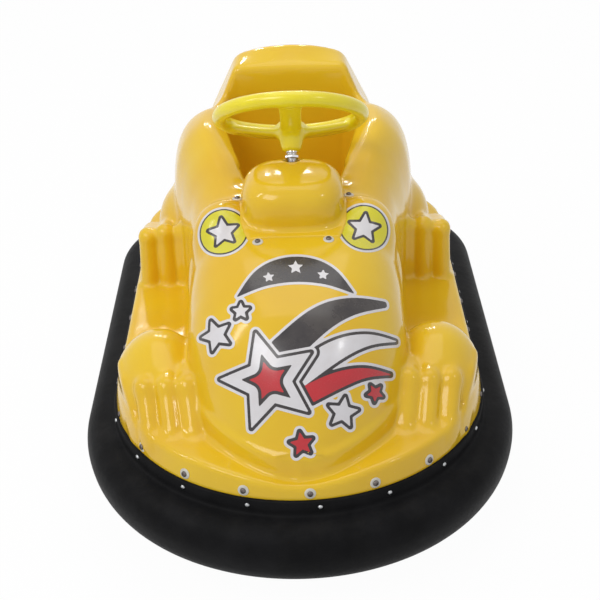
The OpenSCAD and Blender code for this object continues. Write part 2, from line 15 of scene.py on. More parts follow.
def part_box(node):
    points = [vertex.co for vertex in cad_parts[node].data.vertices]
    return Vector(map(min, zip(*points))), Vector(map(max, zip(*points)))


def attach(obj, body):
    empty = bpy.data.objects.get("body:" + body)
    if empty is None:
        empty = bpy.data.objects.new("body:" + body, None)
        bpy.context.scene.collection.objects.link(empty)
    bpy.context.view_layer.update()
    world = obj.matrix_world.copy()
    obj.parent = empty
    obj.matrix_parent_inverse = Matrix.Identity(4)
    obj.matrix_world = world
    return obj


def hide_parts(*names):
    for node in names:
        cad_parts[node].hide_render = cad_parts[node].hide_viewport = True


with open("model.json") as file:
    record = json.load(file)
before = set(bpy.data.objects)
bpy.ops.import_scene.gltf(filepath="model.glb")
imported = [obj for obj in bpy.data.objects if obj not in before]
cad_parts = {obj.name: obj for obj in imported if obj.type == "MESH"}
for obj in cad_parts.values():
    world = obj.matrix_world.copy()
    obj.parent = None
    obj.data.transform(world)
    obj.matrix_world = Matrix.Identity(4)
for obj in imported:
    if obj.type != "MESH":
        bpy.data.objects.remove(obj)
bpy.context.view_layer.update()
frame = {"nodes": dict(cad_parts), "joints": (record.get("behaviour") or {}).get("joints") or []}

bl_info = {
    "name": "Bumper car finish",
    "version": (1, 0, 0),
    "blender": (4, 5, 0),
    "location": "3D View > Sidebar > Bumper Car",
    "description": "Builds the shell, rubber, stickers and fasteners of a fairground bumper car",
    "category": "Object",
}

SHELL_LOW = (-0.74, 0.13)  # Where the shell's lattice starts: place along the car, height
BODY_BASE = 0.28  # Height where the sections of the head and the rear body are widest

# The head along the car: place, height of its top, squareness of its section.
HEAD = (
    (-0.688, 0.292, 2.0), (-0.684, 0.318, 2.0), (-0.673, 0.348, 2.0), (-0.644, 0.402, 2.1),
    (-0.608, 0.468, 2.2), (-0.558, 0.530, 2.3), (-0.480, 0.584, 2.6), (-0.363, 0.628, 3.2),
    (-0.267, 0.647, 3.8), (-0.172, 0.656, 4.0), (-0.076, 0.662, 4.2), (0.020, 0.668, 4.3),
)
# The rear body along the car: place, half width, height of its top, squareness of its section.
REAR = (
    (-0.160, 0.262, 0.644, 4.2), (-0.076, 0.266, 0.662, 4.2), (0.020, 0.272, 0.692, 4.4),
    (0.140, 0.296, 0.730, 4.8), (0.240, 0.318, 0.750, 5.0), (0.340, 0.326, 0.740, 5.0),
    (0.440, 0.318, 0.692, 4.4), (0.530, 0.290, 0.622, 3.8), (0.610, 0.236, 0.530, 3.0),
    (0.668, 0.164, 0.436, 2.6), (0.700, 0.084, 0.362, 2.2), (0.708, 0.030, 0.330, 2.0),
)
# The cockpit's edge seen from above: place along the car, half width.
EDGE = (
    (-0.034, 0.062), (-0.014, 0.092), (0.060, 0.119), (0.144, 0.141), (0.230, 0.161),
    (0.307, 0.177), (0.372, 0.184), (0.404, 0.172), (0.418, 0.140),
)


def metres(name, description, default, **limits):
    """A setting in metres."""
    return bpy.props.FloatProperty(
        name=name, description=description, default=default, unit="LENGTH", **limits)


def degrees(name, description, default):
    """A setting that the panel shows in degrees."""
    return bpy.props.FloatProperty(
        name=name, description=description, default=math.radians(default), subtype="ANGLE")


def point(name, description, default):
    """A setting that is a point, in metres."""
    return bpy.props.FloatVectorProperty(
        name=name, description=description, default=default, subtype="TRANSLATION")


def hue(name, description, default):
    """A setting that is a colour, in linear light."""
    return bpy.props.FloatVectorProperty(
        name=name, description=description, default=default, subtype="COLOR", min=0, max=1)


class ShellSize(bpy.types.PropertyGroup):
    """Sizes of the moulded glass fibre shell."""

    grid: metres(
        "Grid", "Spacing of the mesh that the shell is made with", 0.0068, min=0.005, max=0.02)
    wall: metres("Wall", "Thickness of the moulding", 0.005)
    skirt_radius: metres("Skirt radius", "Radius of the skirt round the front, at its foot", 0.438)
    skirt_lean: metres("Skirt lean", "How far the skirt leans in at its top", 0.010)
    skirt_foot: metres("Skirt foot", "Height of the skirt's lower edge", 0.2555)
    deck_top: metres("Deck top", "Height of the deck beside the head", 0.312)
    deck_dip: metres("Deck dip", "How far the deck sinks before the nose", 0.026)
    nose_centre: metres(
        "Front arc centre", "Distance of the front arc's centre ahead of the middle", 0.280)
    corner_x: metres("Rear corner X", "Distance of the rear corners' centres to each side", 0.220)
    corner_y: metres(
        "Rear corner Y", "Distance of the rear corners' centres behind the middle", 0.500)
    head_half: metres("Head half width", "Half the width of the head at its base", 0.262)
    head_wide: metres(
        "Head widest", "Distance of the head's widest place ahead of the middle", 0.360)
    head_round: metres("Head round", "Length of the head's rounded front", 0.324)
    seat_top: metres("Seat height", "Height of the seat pan", 0.400)
    seat_front: metres("Seat front", "Place of the seat pan's front edge", 0.080)
    tub_front: metres("Tub front", "Place of the cockpit's front wall", -0.034)
    tub_rear: metres("Tub rear", "Place of the cockpit's rear wall", 0.415)
    tub_foot: metres("Tub foot", "Height of the footwell's lower edge", 0.1682)
    split: metres("Split", "Place of the joint between the front and rear mouldings", -0.076)


class FittingSize(bpy.types.PropertyGroup):
    """Sizes of the bumper ring, the fasteners and the steering wheel."""

    wheel_radius: metres("Wheel radius", "Radius of the steering wheel's rim at its middle", 0.1684)
    wheel_tube: metres("Wheel tube", "Thickness of the steering wheel's rim", 0.036)
    hub_end: metres("Hub end", "Depth of the hub's lower end under the rim", 0.087)
    rim_pitch: metres("Rim bolt pitch", "Distance between the bolts round the shell's skirt", 0.146)
    ring_pitch: metres("Ring bolt pitch", "Distance between the bolts round the bumper ring", 0.160)
    sticker_step: metres(
        "Sticker grid", "Spacing of the mesh that the stickers are cut from",
        0.0025, min=0.001, max=0.01)
    sticker_fall: degrees("Sticker fall", "How steeply the stickers' plane faces down the hood", 36)
    sticker_place: point("Sticker place", "The middle of the stickers' plane", (0.0, -0.558, 0.53))


class Colours(bpy.types.PropertyGroup):
    """Colours of the paint, rubber and stickers, in linear light."""

    shell: hue("Shell", "Gel coat of the shell", (0.84, 0.55, 0.02))
    shell_deep: hue("Shell, deep", "Gel coat where it is laid on thicker", (0.79, 0.46, 0.012))
    wheel: hue("Steering wheel", "Lemon yellow plastic of the steering wheel", (0.88, 0.74, 0.01))
    rubber: hue("Rubber", "Bumper rubber", (0.007, 0.007, 0.0075))
    dust: hue("Dust", "Dry dust on rubber and paint", (0.19, 0.18, 0.17))
    ink: hue("Sticker black", "Black of the stickers", (0.018, 0.013, 0.016))
    white: hue("Sticker white", "White of the stickers", (0.74, 0.72, 0.74))
    red: hue("Sticker red", "Red of the stickers", (0.55, 0.014, 0.025))
    lime: hue("Sticker lime", "Yellow green of the stickers", (0.72, 0.66, 0.012))


class StageSize(bpy.types.PropertyGroup):
    """Camera and lights."""

    camera: point("Camera", "Place of the camera", (0.0095, -2.8025, 1.979))
    tilt: degrees("Tilt", "How far the camera looks down", 30.5)
    roll: degrees("Roll", "Roll of the camera about its own axis", -1.7)
    lens: bpy.props.FloatProperty(
        name="Lens", description="Focal length on a 36 mm sensor", default=75.17)


SETTINGS = {"bumper_car_shell": ShellSize, "bumper_car_fittings": FittingSize,
            "bumper_car_colours": Colours, "bumper_car_stage": StageSize}


def shell_size():
    return bpy.context.scene.bumper_car_shell


def fitting_size():
    return bpy.context.scene.bumper_car_fittings


def colours():
    return bpy.context.scene.bumper_car_colours


def stage_size():
    return bpy.context.scene.bumper_car_stage


# Curves and signed distances

def smooth_curve(y, rows, column):
    """A column of a table as a smooth curve along y, with no overshoot between its rows."""
    at = np.array([row[0] for row in rows])
    value = np.array([row[column] for row in rows])
    rise = np.diff(value) / np.diff(at)
    slope = np.zeros_like(value)
    for i in range(1, len(value) - 1):
        if rise[i - 1] * rise[i] > 0:
            slope[i] = 2 * rise[i - 1] * rise[i] / (rise[i - 1] + rise[i])
    slope[0], slope[-1] = rise[0], rise[-1]
    k = np.clip(np.searchsorted(at, y) - 1, 0, len(at) - 2)
    span = at[k + 1] - at[k]
    t = np.clip((y - at[k]) / span, 0, 1)
    return ((2 * t**3 - 3 * t**2 + 1) * value[k] + (t**3 - 2 * t**2 + t) * span * slope[k]
            + (3 * t**2 - 2 * t**3) * value[k + 1] + (t**3 - t**2) * span * slope[k + 1])


def join(a, b, fillet):
    """The union of two forms, with a fillet between them."""
    h = np.maximum(fillet - np.abs(a - b), 0) / fillet
    return np.minimum(a, b) - h * h * fillet / 4


def meet(a, b, rounding):
    """What two forms share, with the edge between them rounded."""
    return -join(-a, -b, rounding)


def power_sum(a, b, power):
    """The length of (a, b) for a rounded square: power 2 is a circle, more is squarer."""
    return np.power(np.power(np.abs(a), power) + np.power(np.abs(b), power), 1 / power)


class Grid:
    """A box of sample points, on which a form is a field that is negative inside."""

    def __init__(self, low, high, step):
        self.step = step
        self.axes = [np.arange(a, b + step, step) for a, b in zip(low, high)]
        x, y, z = np.meshgrid(*self.axes, indexing="ij")
        self.x, self.y, self.z = (v.astype(np.float32) for v in (x, y, z))
        self.side = np.abs(self.x)
        self.along = self.y[:1, :, :1]

    def distance(self, field):
        """A field made steep by one metre per metre, so that fillets keep their size."""
        field = np.broadcast_to(field, self.x.shape)
        slope = np.gradient(field, self.step)
        steep = np.sqrt(slope[0]**2 + slope[1]**2 + slope[2]**2)
        return (field / np.maximum(steep, 1e-2)).astype(np.float32)

    def loft(self, half, top, square, base):
        """A body on a straight base, with sections of given half width, top and squareness."""
        half, top = np.maximum(half, 0.004), np.maximum(top - base, 0.004)
        return self.distance(power_sum(self.side / half, (self.z - base) / top, square) - 1)

    def ball(self, centre, radii, base=None):
        """A stretched ball on both sides of the car. Under a base it goes straight down."""
        high = self.z if base is None else np.maximum(self.z, base)
        u, v, w = self.side - centre[0], self.y - centre[1], high - centre[2]
        near = np.sqrt((u / radii[0])**2 + (v / radii[1])**2 + (w / radii[2])**2)
        steep = np.sqrt((u / radii[0]**2)**2 + (v / radii[1]**2)**2 + (w / radii[2]**2)**2)
        return near * (near - 1) / np.maximum(steep, 1e-6)

    def limb(self, start, end, r_start, r_end):
        """A rounded limb on both sides of the car, with its own radius at each end."""
        start, end = np.array(start, float), np.array(end, float)
        run = end - start
        at = (self.side, self.y, self.z)
        t = sum((c - s) * r for c, s, r in zip(at, start, run)) / run.dot(run)
        t = np.clip(t, 0, 1)
        off = [c - s - t * r for c, s, r in zip(at, start, run)]
        return np.sqrt(off[0]**2 + off[1]**2 + off[2]**2) - (r_start + (r_end - r_start) * t)


def plan_radius(x, y, size):
    """Size of the plan's outline through a point: an arc at the front, corners at the rear."""
    side = np.abs(x)
    front = np.hypot(side, y + size.nose_centre)
    corner = np.hypot(side - size.corner_x, y - size.corner_y) + size.corner_x
    rear = np.where(side > size.corner_x, corner, y - size.corner_y + size.corner_x)
    return np.where(y < -size.nose_centre, front, np.where(y > size.corner_y, rear, side))


def skirt_field(g, size):
    """The skirt round the plan, which leans in towards its top."""
    lean = size.skirt_lean * (g.z - size.skirt_foot) / (size.deck_top - size.skirt_foot)
    return plan_radius(g.side, g.y, size) - (size.skirt_radius - np.clip(lean, 0, size.skirt_lean))


def deck_height(side, y, size):
    """Height of the deck's top, which dips before the nose."""
    dip_start, dip_run, dip_half = -0.45, 0.15, 0.13
    before_nose = np.clip((dip_start - y) / dip_run, 0, 1)
    return size.deck_top - size.deck_dip * np.exp(-(side / dip_half)**2) * before_nose


def head_form(g, size):
    """The head: a loft with a rounded front, on a low plinth that follows its outline."""
    power, inset = 1.85, 0.985
    plinth_rise, plinth_rear, rear_end = 0.052, 0.30, 0.01
    reach = np.clip((-size.head_wide - g.y) / size.head_round, 0, 3)
    outline = g.distance(power_sum(g.side / size.head_half, reach, power) - 1)
    t = np.clip((-size.head_wide - g.along) / size.head_round, 0, 1)
    half = size.head_half * np.power(1 - t**power, 1 / power)
    top, square = smooth_curve(g.along, HEAD, 1), smooth_curve(g.along, HEAD, 2)
    head = np.maximum(g.loft(half * inset, top, square, BODY_BASE), outline - 0.001)
    plinth = meet(outline, g.z - deck_height(g.side, g.y, size) - plinth_rise, 0.014)
    plinth = meet(plinth, g.y + plinth_rear, 0.02)
    return meet(join(head, plinth, 0.012), g.y - rear_end, 0.02)


def rear_form(g):
    """The rear body: a loft with a rounded tail."""
    front_end, wide, reach, half_wide, power = 0.15, 0.34, 0.371, 0.326, 2.2
    t = np.clip((g.along - wide) / reach, 0, 1)
    tail = half_wide * np.power(np.clip(1 - t**power, 0, 1), 1 / power)
    half = np.where(g.along > wide, tail, smooth_curve(g.along, REAR, 1))
    top, square = smooth_curve(g.along, REAR, 2), smooth_curve(g.along, REAR, 3)
    rear = g.loft(half, top, square, BODY_BASE)
    behind = np.clip((g.y - wide) / reach, 0, 3)
    outline = g.distance(power_sum(g.side / half_wide, behind, power) - 1)
    return meet(np.maximum(rear, outline - 0.001), -front_end - g.y, 0.02)


def hood_form(g, size):
    """The head and the rear body joined, with an ear on each side."""
    body = join(head_form(g, size), rear_form(g), 0.02)
    return join(body, g.ball(centre=(0.163, -0.148, 0.596), radii=(0.078, 0.084, 0.090)), 0.03)


def backrest_form(g):
    """Sides that flare downwards, under a crowned top that rises to the rear."""
    half_top, flare, flare_top = 0.150, 0.44, 0.812
    top, top_front, top_run, rise, round_off, crown_half = 0.813, 0.425, 0.085, 0.035, 0.032, 0.148
    face_y, lean, lean_low, lean_run = 0.402, 0.02, 0.72, 0.1
    rear_y, rear_top, rear_slope = 0.53, 0.80, 0.42
    under_y, under_z, under_slope, foot = 0.50, 0.50, 1.3, 0.55
    # The last factor of a slanting side brings its field back to one metre per metre
    side = (g.side - (half_top + flare * (flare_top - g.z))) * 0.93
    back = np.clip((g.y - top_front) / top_run, 0, 1.2)
    crown = (g.z - (top + rise * back - round_off * back * (g.side / crown_half)**2)) * 0.95
    face = face_y + lean * np.clip((g.z - lean_low) / lean_run, 0, 1) - g.y
    rear = (g.y - rear_y - (rear_top - g.z) * rear_slope) * 0.92
    under = (under_z + under_slope * (g.y - under_y) - g.z) / math.hypot(1, under_slope)
    body = meet(meet(side, crown, 0.016), meet(face, rear, 0.03), 0.018)
    return np.maximum(meet(body, under, 0.04), foot - g.z)


def front_paw_form(g, size):
    """A domed paw with four toes that run down to the skirt."""
    dome = g.ball(centre=(0.326, -0.335, 0.305), radii=(0.108, 0.122, 0.136))
    foot = g.ball(centre=(0.306, -0.418, 0.300), radii=(0.098, 0.066, 0.096))
    paw = join(dome, foot, 0.05)
    pitch, root_radius, inner_radius, toe_radius = 0.0485, 0.021, 0.0295, 0.0255
    for k, tip_y in enumerate((-0.545, -0.549, -0.530, -0.492)):
        drop = 0.014 * max(k - 1.7, 0)
        back = 0.036 * max(k - 2, 0) + 0.008 * max(k - 1, 0)
        wide = inner_radius if k == 0 else toe_radius
        root = (0.258 + pitch * k, -0.405 + back, 0.388 - drop)
        knuckle = (0.249 + pitch * k, -0.457 + back, 0.379 - 1.5 * drop)
        tip = (0.233 + pitch * k, tip_y, 0.285)
        toe = join(g.limb(root, knuckle, root_radius, wide),
                   g.limb(knuckle, tip, wide, wide), 0.012)
        paw = join(paw, toe, 0.006)
    return meet(paw, skirt_field(g, size), 0.008)


def rear_paw_form(g):
    """A block with rounded edges, with three fingers bent over its front."""
    middle_x, middle_y, half_wide, half_long = 0.334, 0.200, 0.042, 0.030
    top, top_fall, fall_start, spread, spread_top = 0.440, 0.25, 0.150, 0.05, 0.46
    edge_radius, pitch = 0.030, 0.046
    lean = spread * np.maximum(spread_top - g.z, 0)
    across = np.maximum(np.abs(g.side - middle_x - lean * 0.5) - half_wide - lean * 0.5, 0)
    along = np.maximum(np.abs(g.y - middle_y) - half_long, 0)
    up = np.maximum(g.z - top + top_fall * (g.y - fall_start), 0)
    paw = np.sqrt(across**2 + along**2 + up**2) - edge_radius
    for k in (-1, 0, 1):
        x, outer = 0.342 + pitch * k, max(k, 0)
        low = (x + 0.006 * outer, 0.142, 0.290)
        bend = (x, 0.150, 0.458 - 0.010 * outer)
        back = (x, 0.225, 0.440 - 0.010 * outer)
        finger = join(g.limb(low, bend, 0.0245, 0.0235), g.limb(bend, back, 0.0235, 0.020), 0.010)
        paw = join(paw, finger, 0.008)
    return paw


def cockpit_air(g, size):
    """The open space of the cockpit: the seat's, and the footwell's before it."""
    edge = smooth_curve(g.along, EDGE, 1)
    walls = np.maximum(np.maximum(g.side - edge, size.tub_front - g.y), g.y - size.tub_rear)
    seat = meet(walls, size.seat_top - g.z, 0.045)
    footwell = meet(walls, g.y - size.seat_front, 0.02)
    return join(seat, footwell, 0.03)


def rim_air(g):
    """The space over the slopes that fall from the shoulders to the cockpit's edge."""
    front, rear, spread = -0.034, 0.43, 0.9
    rim_height, rim_rise = 0.662, 0.15
    slope_front, slope_gain, slope_run, slope_mean = 0.42, 1.6, 0.4, 0.8
    edge = smooth_curve(g.along, EDGE, 1)
    rim = rim_height + rim_rise * g.y
    slope = slope_front + slope_gain * np.clip(g.y, 0, slope_run)
    air = (rim + np.maximum(g.side - edge, -0.05) * slope - g.z) / math.hypot(1, slope_mean)
    ends = np.maximum(front - g.y, g.y - rear)
    return meet(air, ends - np.clip(g.z - rim, 0, 1) * spread, 0.02)


def shell_form(g, size):
    """The whole moulding as one solid, with the cockpit cut into it."""
    thigh_base = 0.402
    thigh = g.ball(centre=(0.280, 0.32, thigh_base), radii=(0.094, 0.145, 0.120), base=thigh_base)
    body = join(hood_form(g, size), thigh, 0.02)
    body = meet(body, -rim_air(g), 0.03)
    body = join(body, backrest_form(g), 0.040)
    body = join(body, front_paw_form(g, size), 0.010)
    body = join(body, rear_paw_form(g), 0.012)
    deck = meet(skirt_field(g, size), g.z - deck_height(g.side, g.y, size), 0.010)
    body = join(body, deck, 0.016)
    return meet(body, -cockpit_air(g, size), 0.012)


def pod_form(g, body):
    """The cover of the steering column: a smooth pod on a thin flange that lies on the head."""
    centre, radii = (0.0, -0.129, 0.686), (0.120, 0.109, 0.077)
    front, rear, half_wide, taper_start, taper, flange_rise = 0.262, 0.05, 0.125, 0.20, 0.28, 0.002
    u = [np.abs(v - c) / r for v, c, r in zip((g.x, g.y, g.z), centre, radii)]
    pod = g.distance((u[0]**2.9 + u[1]**2.7 + u[2]**2.9)**(1 / 2.8) - 1)
    width = half_wide - taper * np.clip(-taper_start - g.y, 0, 0.1)
    plan = np.maximum(np.maximum(g.side - width, -front - g.y), g.y + rear)
    flange = meet(plan, body - flange_rise, 0.003)
    return join(pod, flange, 0.016)


def wheel_form(g, size):
    """The steering wheel about its own axis: a rim, a deep hub and three flat spokes."""
    hub_radius, hub_top, hub_taper, taper_start = 0.0335, -0.014, 0.24, -0.036
    spoke_half, spoke_thick, spoke_drop = 0.0235, 0.0105, 0.040
    far = np.hypot(g.x, g.y)
    rim = np.hypot(far - size.wheel_radius, g.z) - size.wheel_tube / 2
    narrowed = hub_radius - hub_taper * np.clip(taper_start - g.z, 0, 1)
    field = meet((far - narrowed) * 0.97, np.maximum(-size.hub_end - g.z, g.z - hub_top), 0.012)
    for turn in (30, 150, 270):
        a = math.radians(turn)
        out, across = g.x * math.cos(a) + g.y * math.sin(a), g.y * math.cos(a) - g.x * math.sin(a)
        share = np.clip(out / size.wheel_radius, 0, 1)
        middle = -spoke_drop + 0.036 * share**1.3
        half = spoke_half + 0.008 * share**4 + 0.006 * (1 - share)**3
        thick = spoke_thick + 0.002 * (1 - share)
        bar = g.distance(np.sqrt((across / half)**2 + ((g.z - middle) / thick)**2) - 1)
        bar = np.maximum(np.maximum(bar, -out), out - size.wheel_radius)
        field = join(field, bar, 0.014)
    return join(field, rim, 0.012)


# Flat outlines for the stickers

def outline_distance(u, v, corners):
    """Distance to a closed outline in the stickers' plane, negative inside."""
    near, within = np.full(u.shape, 9.0), np.zeros(u.shape, bool)
    for (a, b), (c, d) in zip(corners, corners[1:] + corners[:1]):
        run, rise = c - a, d - b
        t = np.clip(((u - a) * run + (v - b) * rise) / (run * run + rise * rise), 0, 1)
        near = np.minimum(near, np.hypot(u - a - t * run, v - b - t * rise))
        if rise:
            within ^= ((b > v) != (d > v)) & (u < a + (v - b) * run / rise)
    return np.where(within, -near, near)


def star(u, v, radius, turn=0.0, waist=0.46):
    """The corners of a five-pointed star."""
    corners = []
    for k in range(10):
        r = radius * (waist if k % 2 else 1.0)
        angle = math.radians(90 + turn + 36 * k)
        corners.append((u + r * math.cos(angle), v + r * math.sin(angle)))
    return corners


def stroke(rows):
    """The outline of a curved stroke, from rows of place (u, v) and half width."""
    line = np.array(rounded(list(rows), 3))
    run = np.gradient(line[:, :2], axis=0)
    run /= np.linalg.norm(run, axis=1, keepdims=True)
    side = np.stack([-run[:, 1], run[:, 0]], 1) * line[:, 2:]
    return [tuple(p) for p in np.concatenate([line[:, :2] + side, (line[:, :2] - side)[::-1]])]


def filled(value, low, step):
    """Points and faces that fill the part of a flat grid where a value is negative."""
    points, number, faces = [], {}, []

    def spot(a, b):
        if (a, b) not in number:
            number[a, b] = len(points)
            t = 0.0 if a == b else float(np.clip(value[a] / (value[a] - value[b]), 0.03, 0.97))
            points.append([low[i] + (a[i] + t * (b[i] - a[i])) * step for i in (0, 1)])
        return number[a, b]

    within = value < 0
    active = within[:-1, :-1] | within[1:, :-1] | within[1:, 1:] | within[:-1, 1:]
    for i, j in np.argwhere(active).tolist():
        ring = ((i, j), (i + 1, j), (i + 1, j + 1), (i, j + 1))
        face = []
        for a, b in zip(ring, ring[1:] + ring[:1]):
            if within[a]:
                face.append(spot(a, a))
            if within[a] != within[b]:
                face.append(spot(min(a, b), max(a, b)))
        faces.append(tuple(face))
    return np.array(points), faces


# Meshes from fields

def surface(g, field):
    """Vertices and quads of the surface where a field is zero, by surface nets."""
    inside = field < 0
    nx, ny, nz = field.shape
    count = np.zeros((nx - 1, ny - 1, nz - 1), np.int8)
    corners = [(a, b, c) for a in (0, 1) for b in (0, 1) for c in (0, 1)]
    for a, b, c in corners:
        count += inside[a:nx - 1 + a, b:ny - 1 + b, c:nz - 1 + c]
    crossed = (count > 0) & (count < 8)
    cells = np.argwhere(crossed)
    number = np.full(crossed.shape, -1)
    number[crossed] = np.arange(len(cells))
    total, hits = np.zeros((len(cells), 3)), np.zeros(len(cells))
    for i, p in enumerate(corners):
        for q in corners[i + 1:]:
            if sum(abs(u - v) for u, v in zip(p, q)) != 1:
                continue
            at_p = field[tuple((cells + p).T)]
            at_q = field[tuple((cells + q).T)]
            cross = (at_p < 0) != (at_q < 0)
            t = np.where(cross, at_p / np.where(cross, at_p - at_q, 1), 0)
            total += (np.array(p) + t[:, None] * (np.array(q) - np.array(p))) * cross[:, None]
            hits += cross
    low = np.array([axis[0] for axis in g.axes])
    points = low + (cells + total / hits[:, None]) * g.step
    quads = []
    for axis in range(3):
        first, second = [slice(None)] * 3, [slice(None)] * 3
        first[axis], second[axis] = slice(0, -1), slice(1, None)
        here, there = inside[tuple(first)], inside[tuple(second)]
        edges = np.argwhere(here != there)
        u, w = ((1, 2), (2, 0), (0, 1))[axis]
        room = np.array(field.shape) - 1
        edges = edges[(edges[:, u] > 0) & (edges[:, w] > 0)
                      & (edges[:, u] < room[u]) & (edges[:, w] < room[w])]
        ring = []
        for du, dw in ((1, 1), (0, 1), (0, 0), (1, 0)):
            cell = edges.copy()
            cell[:, u] -= du
            cell[:, w] -= dw
            ring.append(number[tuple(cell.T)])
        ring = np.stack(ring, 1)
        outward = here[tuple(edges.T)]
        ring[~outward] = ring[~outward][:, ::-1]
        quads.append(ring)
    return points, np.concatenate(quads)


def sample(g, field, points):
    """A field's value at points between the samples."""
    low = np.array([axis[0] for axis in g.axes])
    at = (points - low) / g.step
    cell = np.clip(np.floor(at).astype(int), 0, np.array(field.shape) - 2)
    t = at - cell
    value = 0
    for a in (0, 1):
        for b in (0, 1):
            for c in (0, 1):
                share = (np.where(a, t[:, 0], 1 - t[:, 0]) * np.where(b, t[:, 1], 1 - t[:, 1])
                         * np.where(c, t[:, 2], 1 - t[:, 2]))
                value = value + share * field[tuple((cell + (a, b, c)).T)]
    return value


def outward(g, field, points):
    """Unit normals of a field at points."""
    slope = np.gradient(field, g.step)
    normal = np.stack([sample(g, s, points) for s in slope], 1)
    return normal / np.maximum(np.linalg.norm(normal, axis=1, keepdims=True), 1e-9)


def settle(g, field, points, rounds=2):
    """Moves points onto the surface along its normals."""
    for _ in range(rounds):
        step = np.clip(sample(g, field, points), -0.5 * g.step, 0.5 * g.step)
        points = points - outward(g, field, points) * step[:, None]
    return points


def new_mesh(name, points, faces, smooth=True):
    """A mesh object in the frame, linked to the scene."""
    mesh = bpy.data.meshes.new(name)
    mesh.from_pydata([tuple(p) for p in points], [], [tuple(f) for f in faces])
    mesh.validate(verbose=False)
    piece = bpy.data.objects.new(name, mesh)
    bpy.context.scene.collection.objects.link(piece)
    if smooth:
        mesh.shade_smooth()
    return piece


def used_only(points, normals, faces):
    """Drops the points that no face uses."""
    used = np.unique([i for face in faces for i in face])
    place = np.full(len(points), -1)
    place[used] = np.arange(len(used))
    place = place.tolist()
    return points[used], normals[used], [tuple(place[i] for i in face) for face in faces]


def thick_shell(name, points, normals, faces, wall):
    """A closed shell of even thickness under a surface, with the surface's own normals."""
    n = len(points)
    edges = {pair for face in faces for pair in zip(face, face[1:] + face[:1])}
    rim = [(b, a, a + n, b + n) for a, b in sorted(edges) if (b, a) not in edges]
    under = [tuple(i + n for i in reversed(face)) for face in faces]
    piece = new_mesh(name, np.concatenate([points, points - normals * wall]), faces + under + rim)
    mesh = piece.data
    corner_vertex = np.empty(len(mesh.loops), int)
    mesh.loops.foreach_get("vertex_index", corner_vertex)
    corner = np.concatenate([normals, -normals])[corner_vertex]
    first = len(corner) - 4 * len(rim)
    face_normal = np.empty(len(mesh.polygons) * 3)
    mesh.polygons.foreach_get("normal", face_normal)
    corner[first:] = np.repeat(face_normal.reshape(-1, 3)[-len(rim):], 4, axis=0)
    mesh.normals_split_custom_set(corner.tolist())
    return piece


def formed(name, g, field, move=None):
    """A mesh of the surface where a field is zero, with the field's own normals."""
    points, quads = surface(g, field)
    points = settle(g, field, points)
    normals = outward(g, field, points)
    if move:
        turn = np.array(move.to_3x3())
        points, normals = points @ turn.T + np.array(move.translation), normals @ turn.T
    piece = new_mesh(name, points, quads)
    piece.data.normals_split_custom_set_from_vertices(normals.tolist())
    return piece


# Swept and turned forms

FRONT_STATIONS, CORNER_STATIONS = 121, 31


def plan_stations(size):
    """Stations round the plan: a base point, the outward direction, and the base's own radius."""
    rows = []
    for turn in np.linspace(-math.pi, 0, FRONT_STATIONS):
        rows.append((0, -size.nose_centre, math.cos(turn), math.sin(turn), 0))
    for side, start in ((1, 0), (-1, math.pi / 2)):
        for turn in np.linspace(start, start + math.pi / 2, CORNER_STATIONS):
            rows.append((side * size.corner_x, size.corner_y, math.cos(turn), math.sin(turn),
                         size.corner_x))
    return np.array(rows)


def plan_places(size, radius, pitch, offset):
    """Evenly spaced places round the plan: x, y and the outward direction."""
    rows = plan_stations(size)
    path = rows[:, :2] + rows[:, 2:4] * (radius - rows[:, 4:])
    path, facing = np.vstack([path, path[:1]]), np.vstack([rows[:, 2:4], rows[:1, 2:4]])
    far = np.concatenate([[0], np.cumsum(np.hypot(*np.diff(path, axis=0).T))])
    front = np.interp(0, path[:FRONT_STATIONS, 0], far[:FRONT_STATIONS])
    count = round(far[-1] / pitch)
    at = (front + offset + np.arange(count) * far[-1] / count) % far[-1]
    x, y, a, b = (np.interp(at, far, column) for column in (*path.T, *facing.T))
    return np.stack([x, y, a / np.hypot(a, b), b / np.hypot(a, b)], 1)


def swept(name, size, profile):
    """A closed profile of (radius, height) carried all the way round the plan."""
    rows = plan_stations(size)
    n, m = len(rows), len(profile)
    points = [(x + a * (r - inset), y + b * (r - inset), z)
              for x, y, a, b, inset in rows for r, z in profile]
    faces = [(i * m + k, (i + 1) % n * m + k, (i + 1) % n * m + (k + 1) % m, i * m + (k + 1) % m)
             for i in range(n) for k in range(m)]
    return new_mesh(name, points, faces)


def rounded(corners, rounds):
    """An open line with its corners cut again and again, until they are round."""
    for _ in range(rounds):
        cut = [tuple(u + (v - u) * t for u, v in zip(a, b))
               for a, b in zip(corners, corners[1:]) for t in (0.25, 0.75)]
        corners = [corners[0]] + cut[1:-1] + [corners[-1]]
    return corners


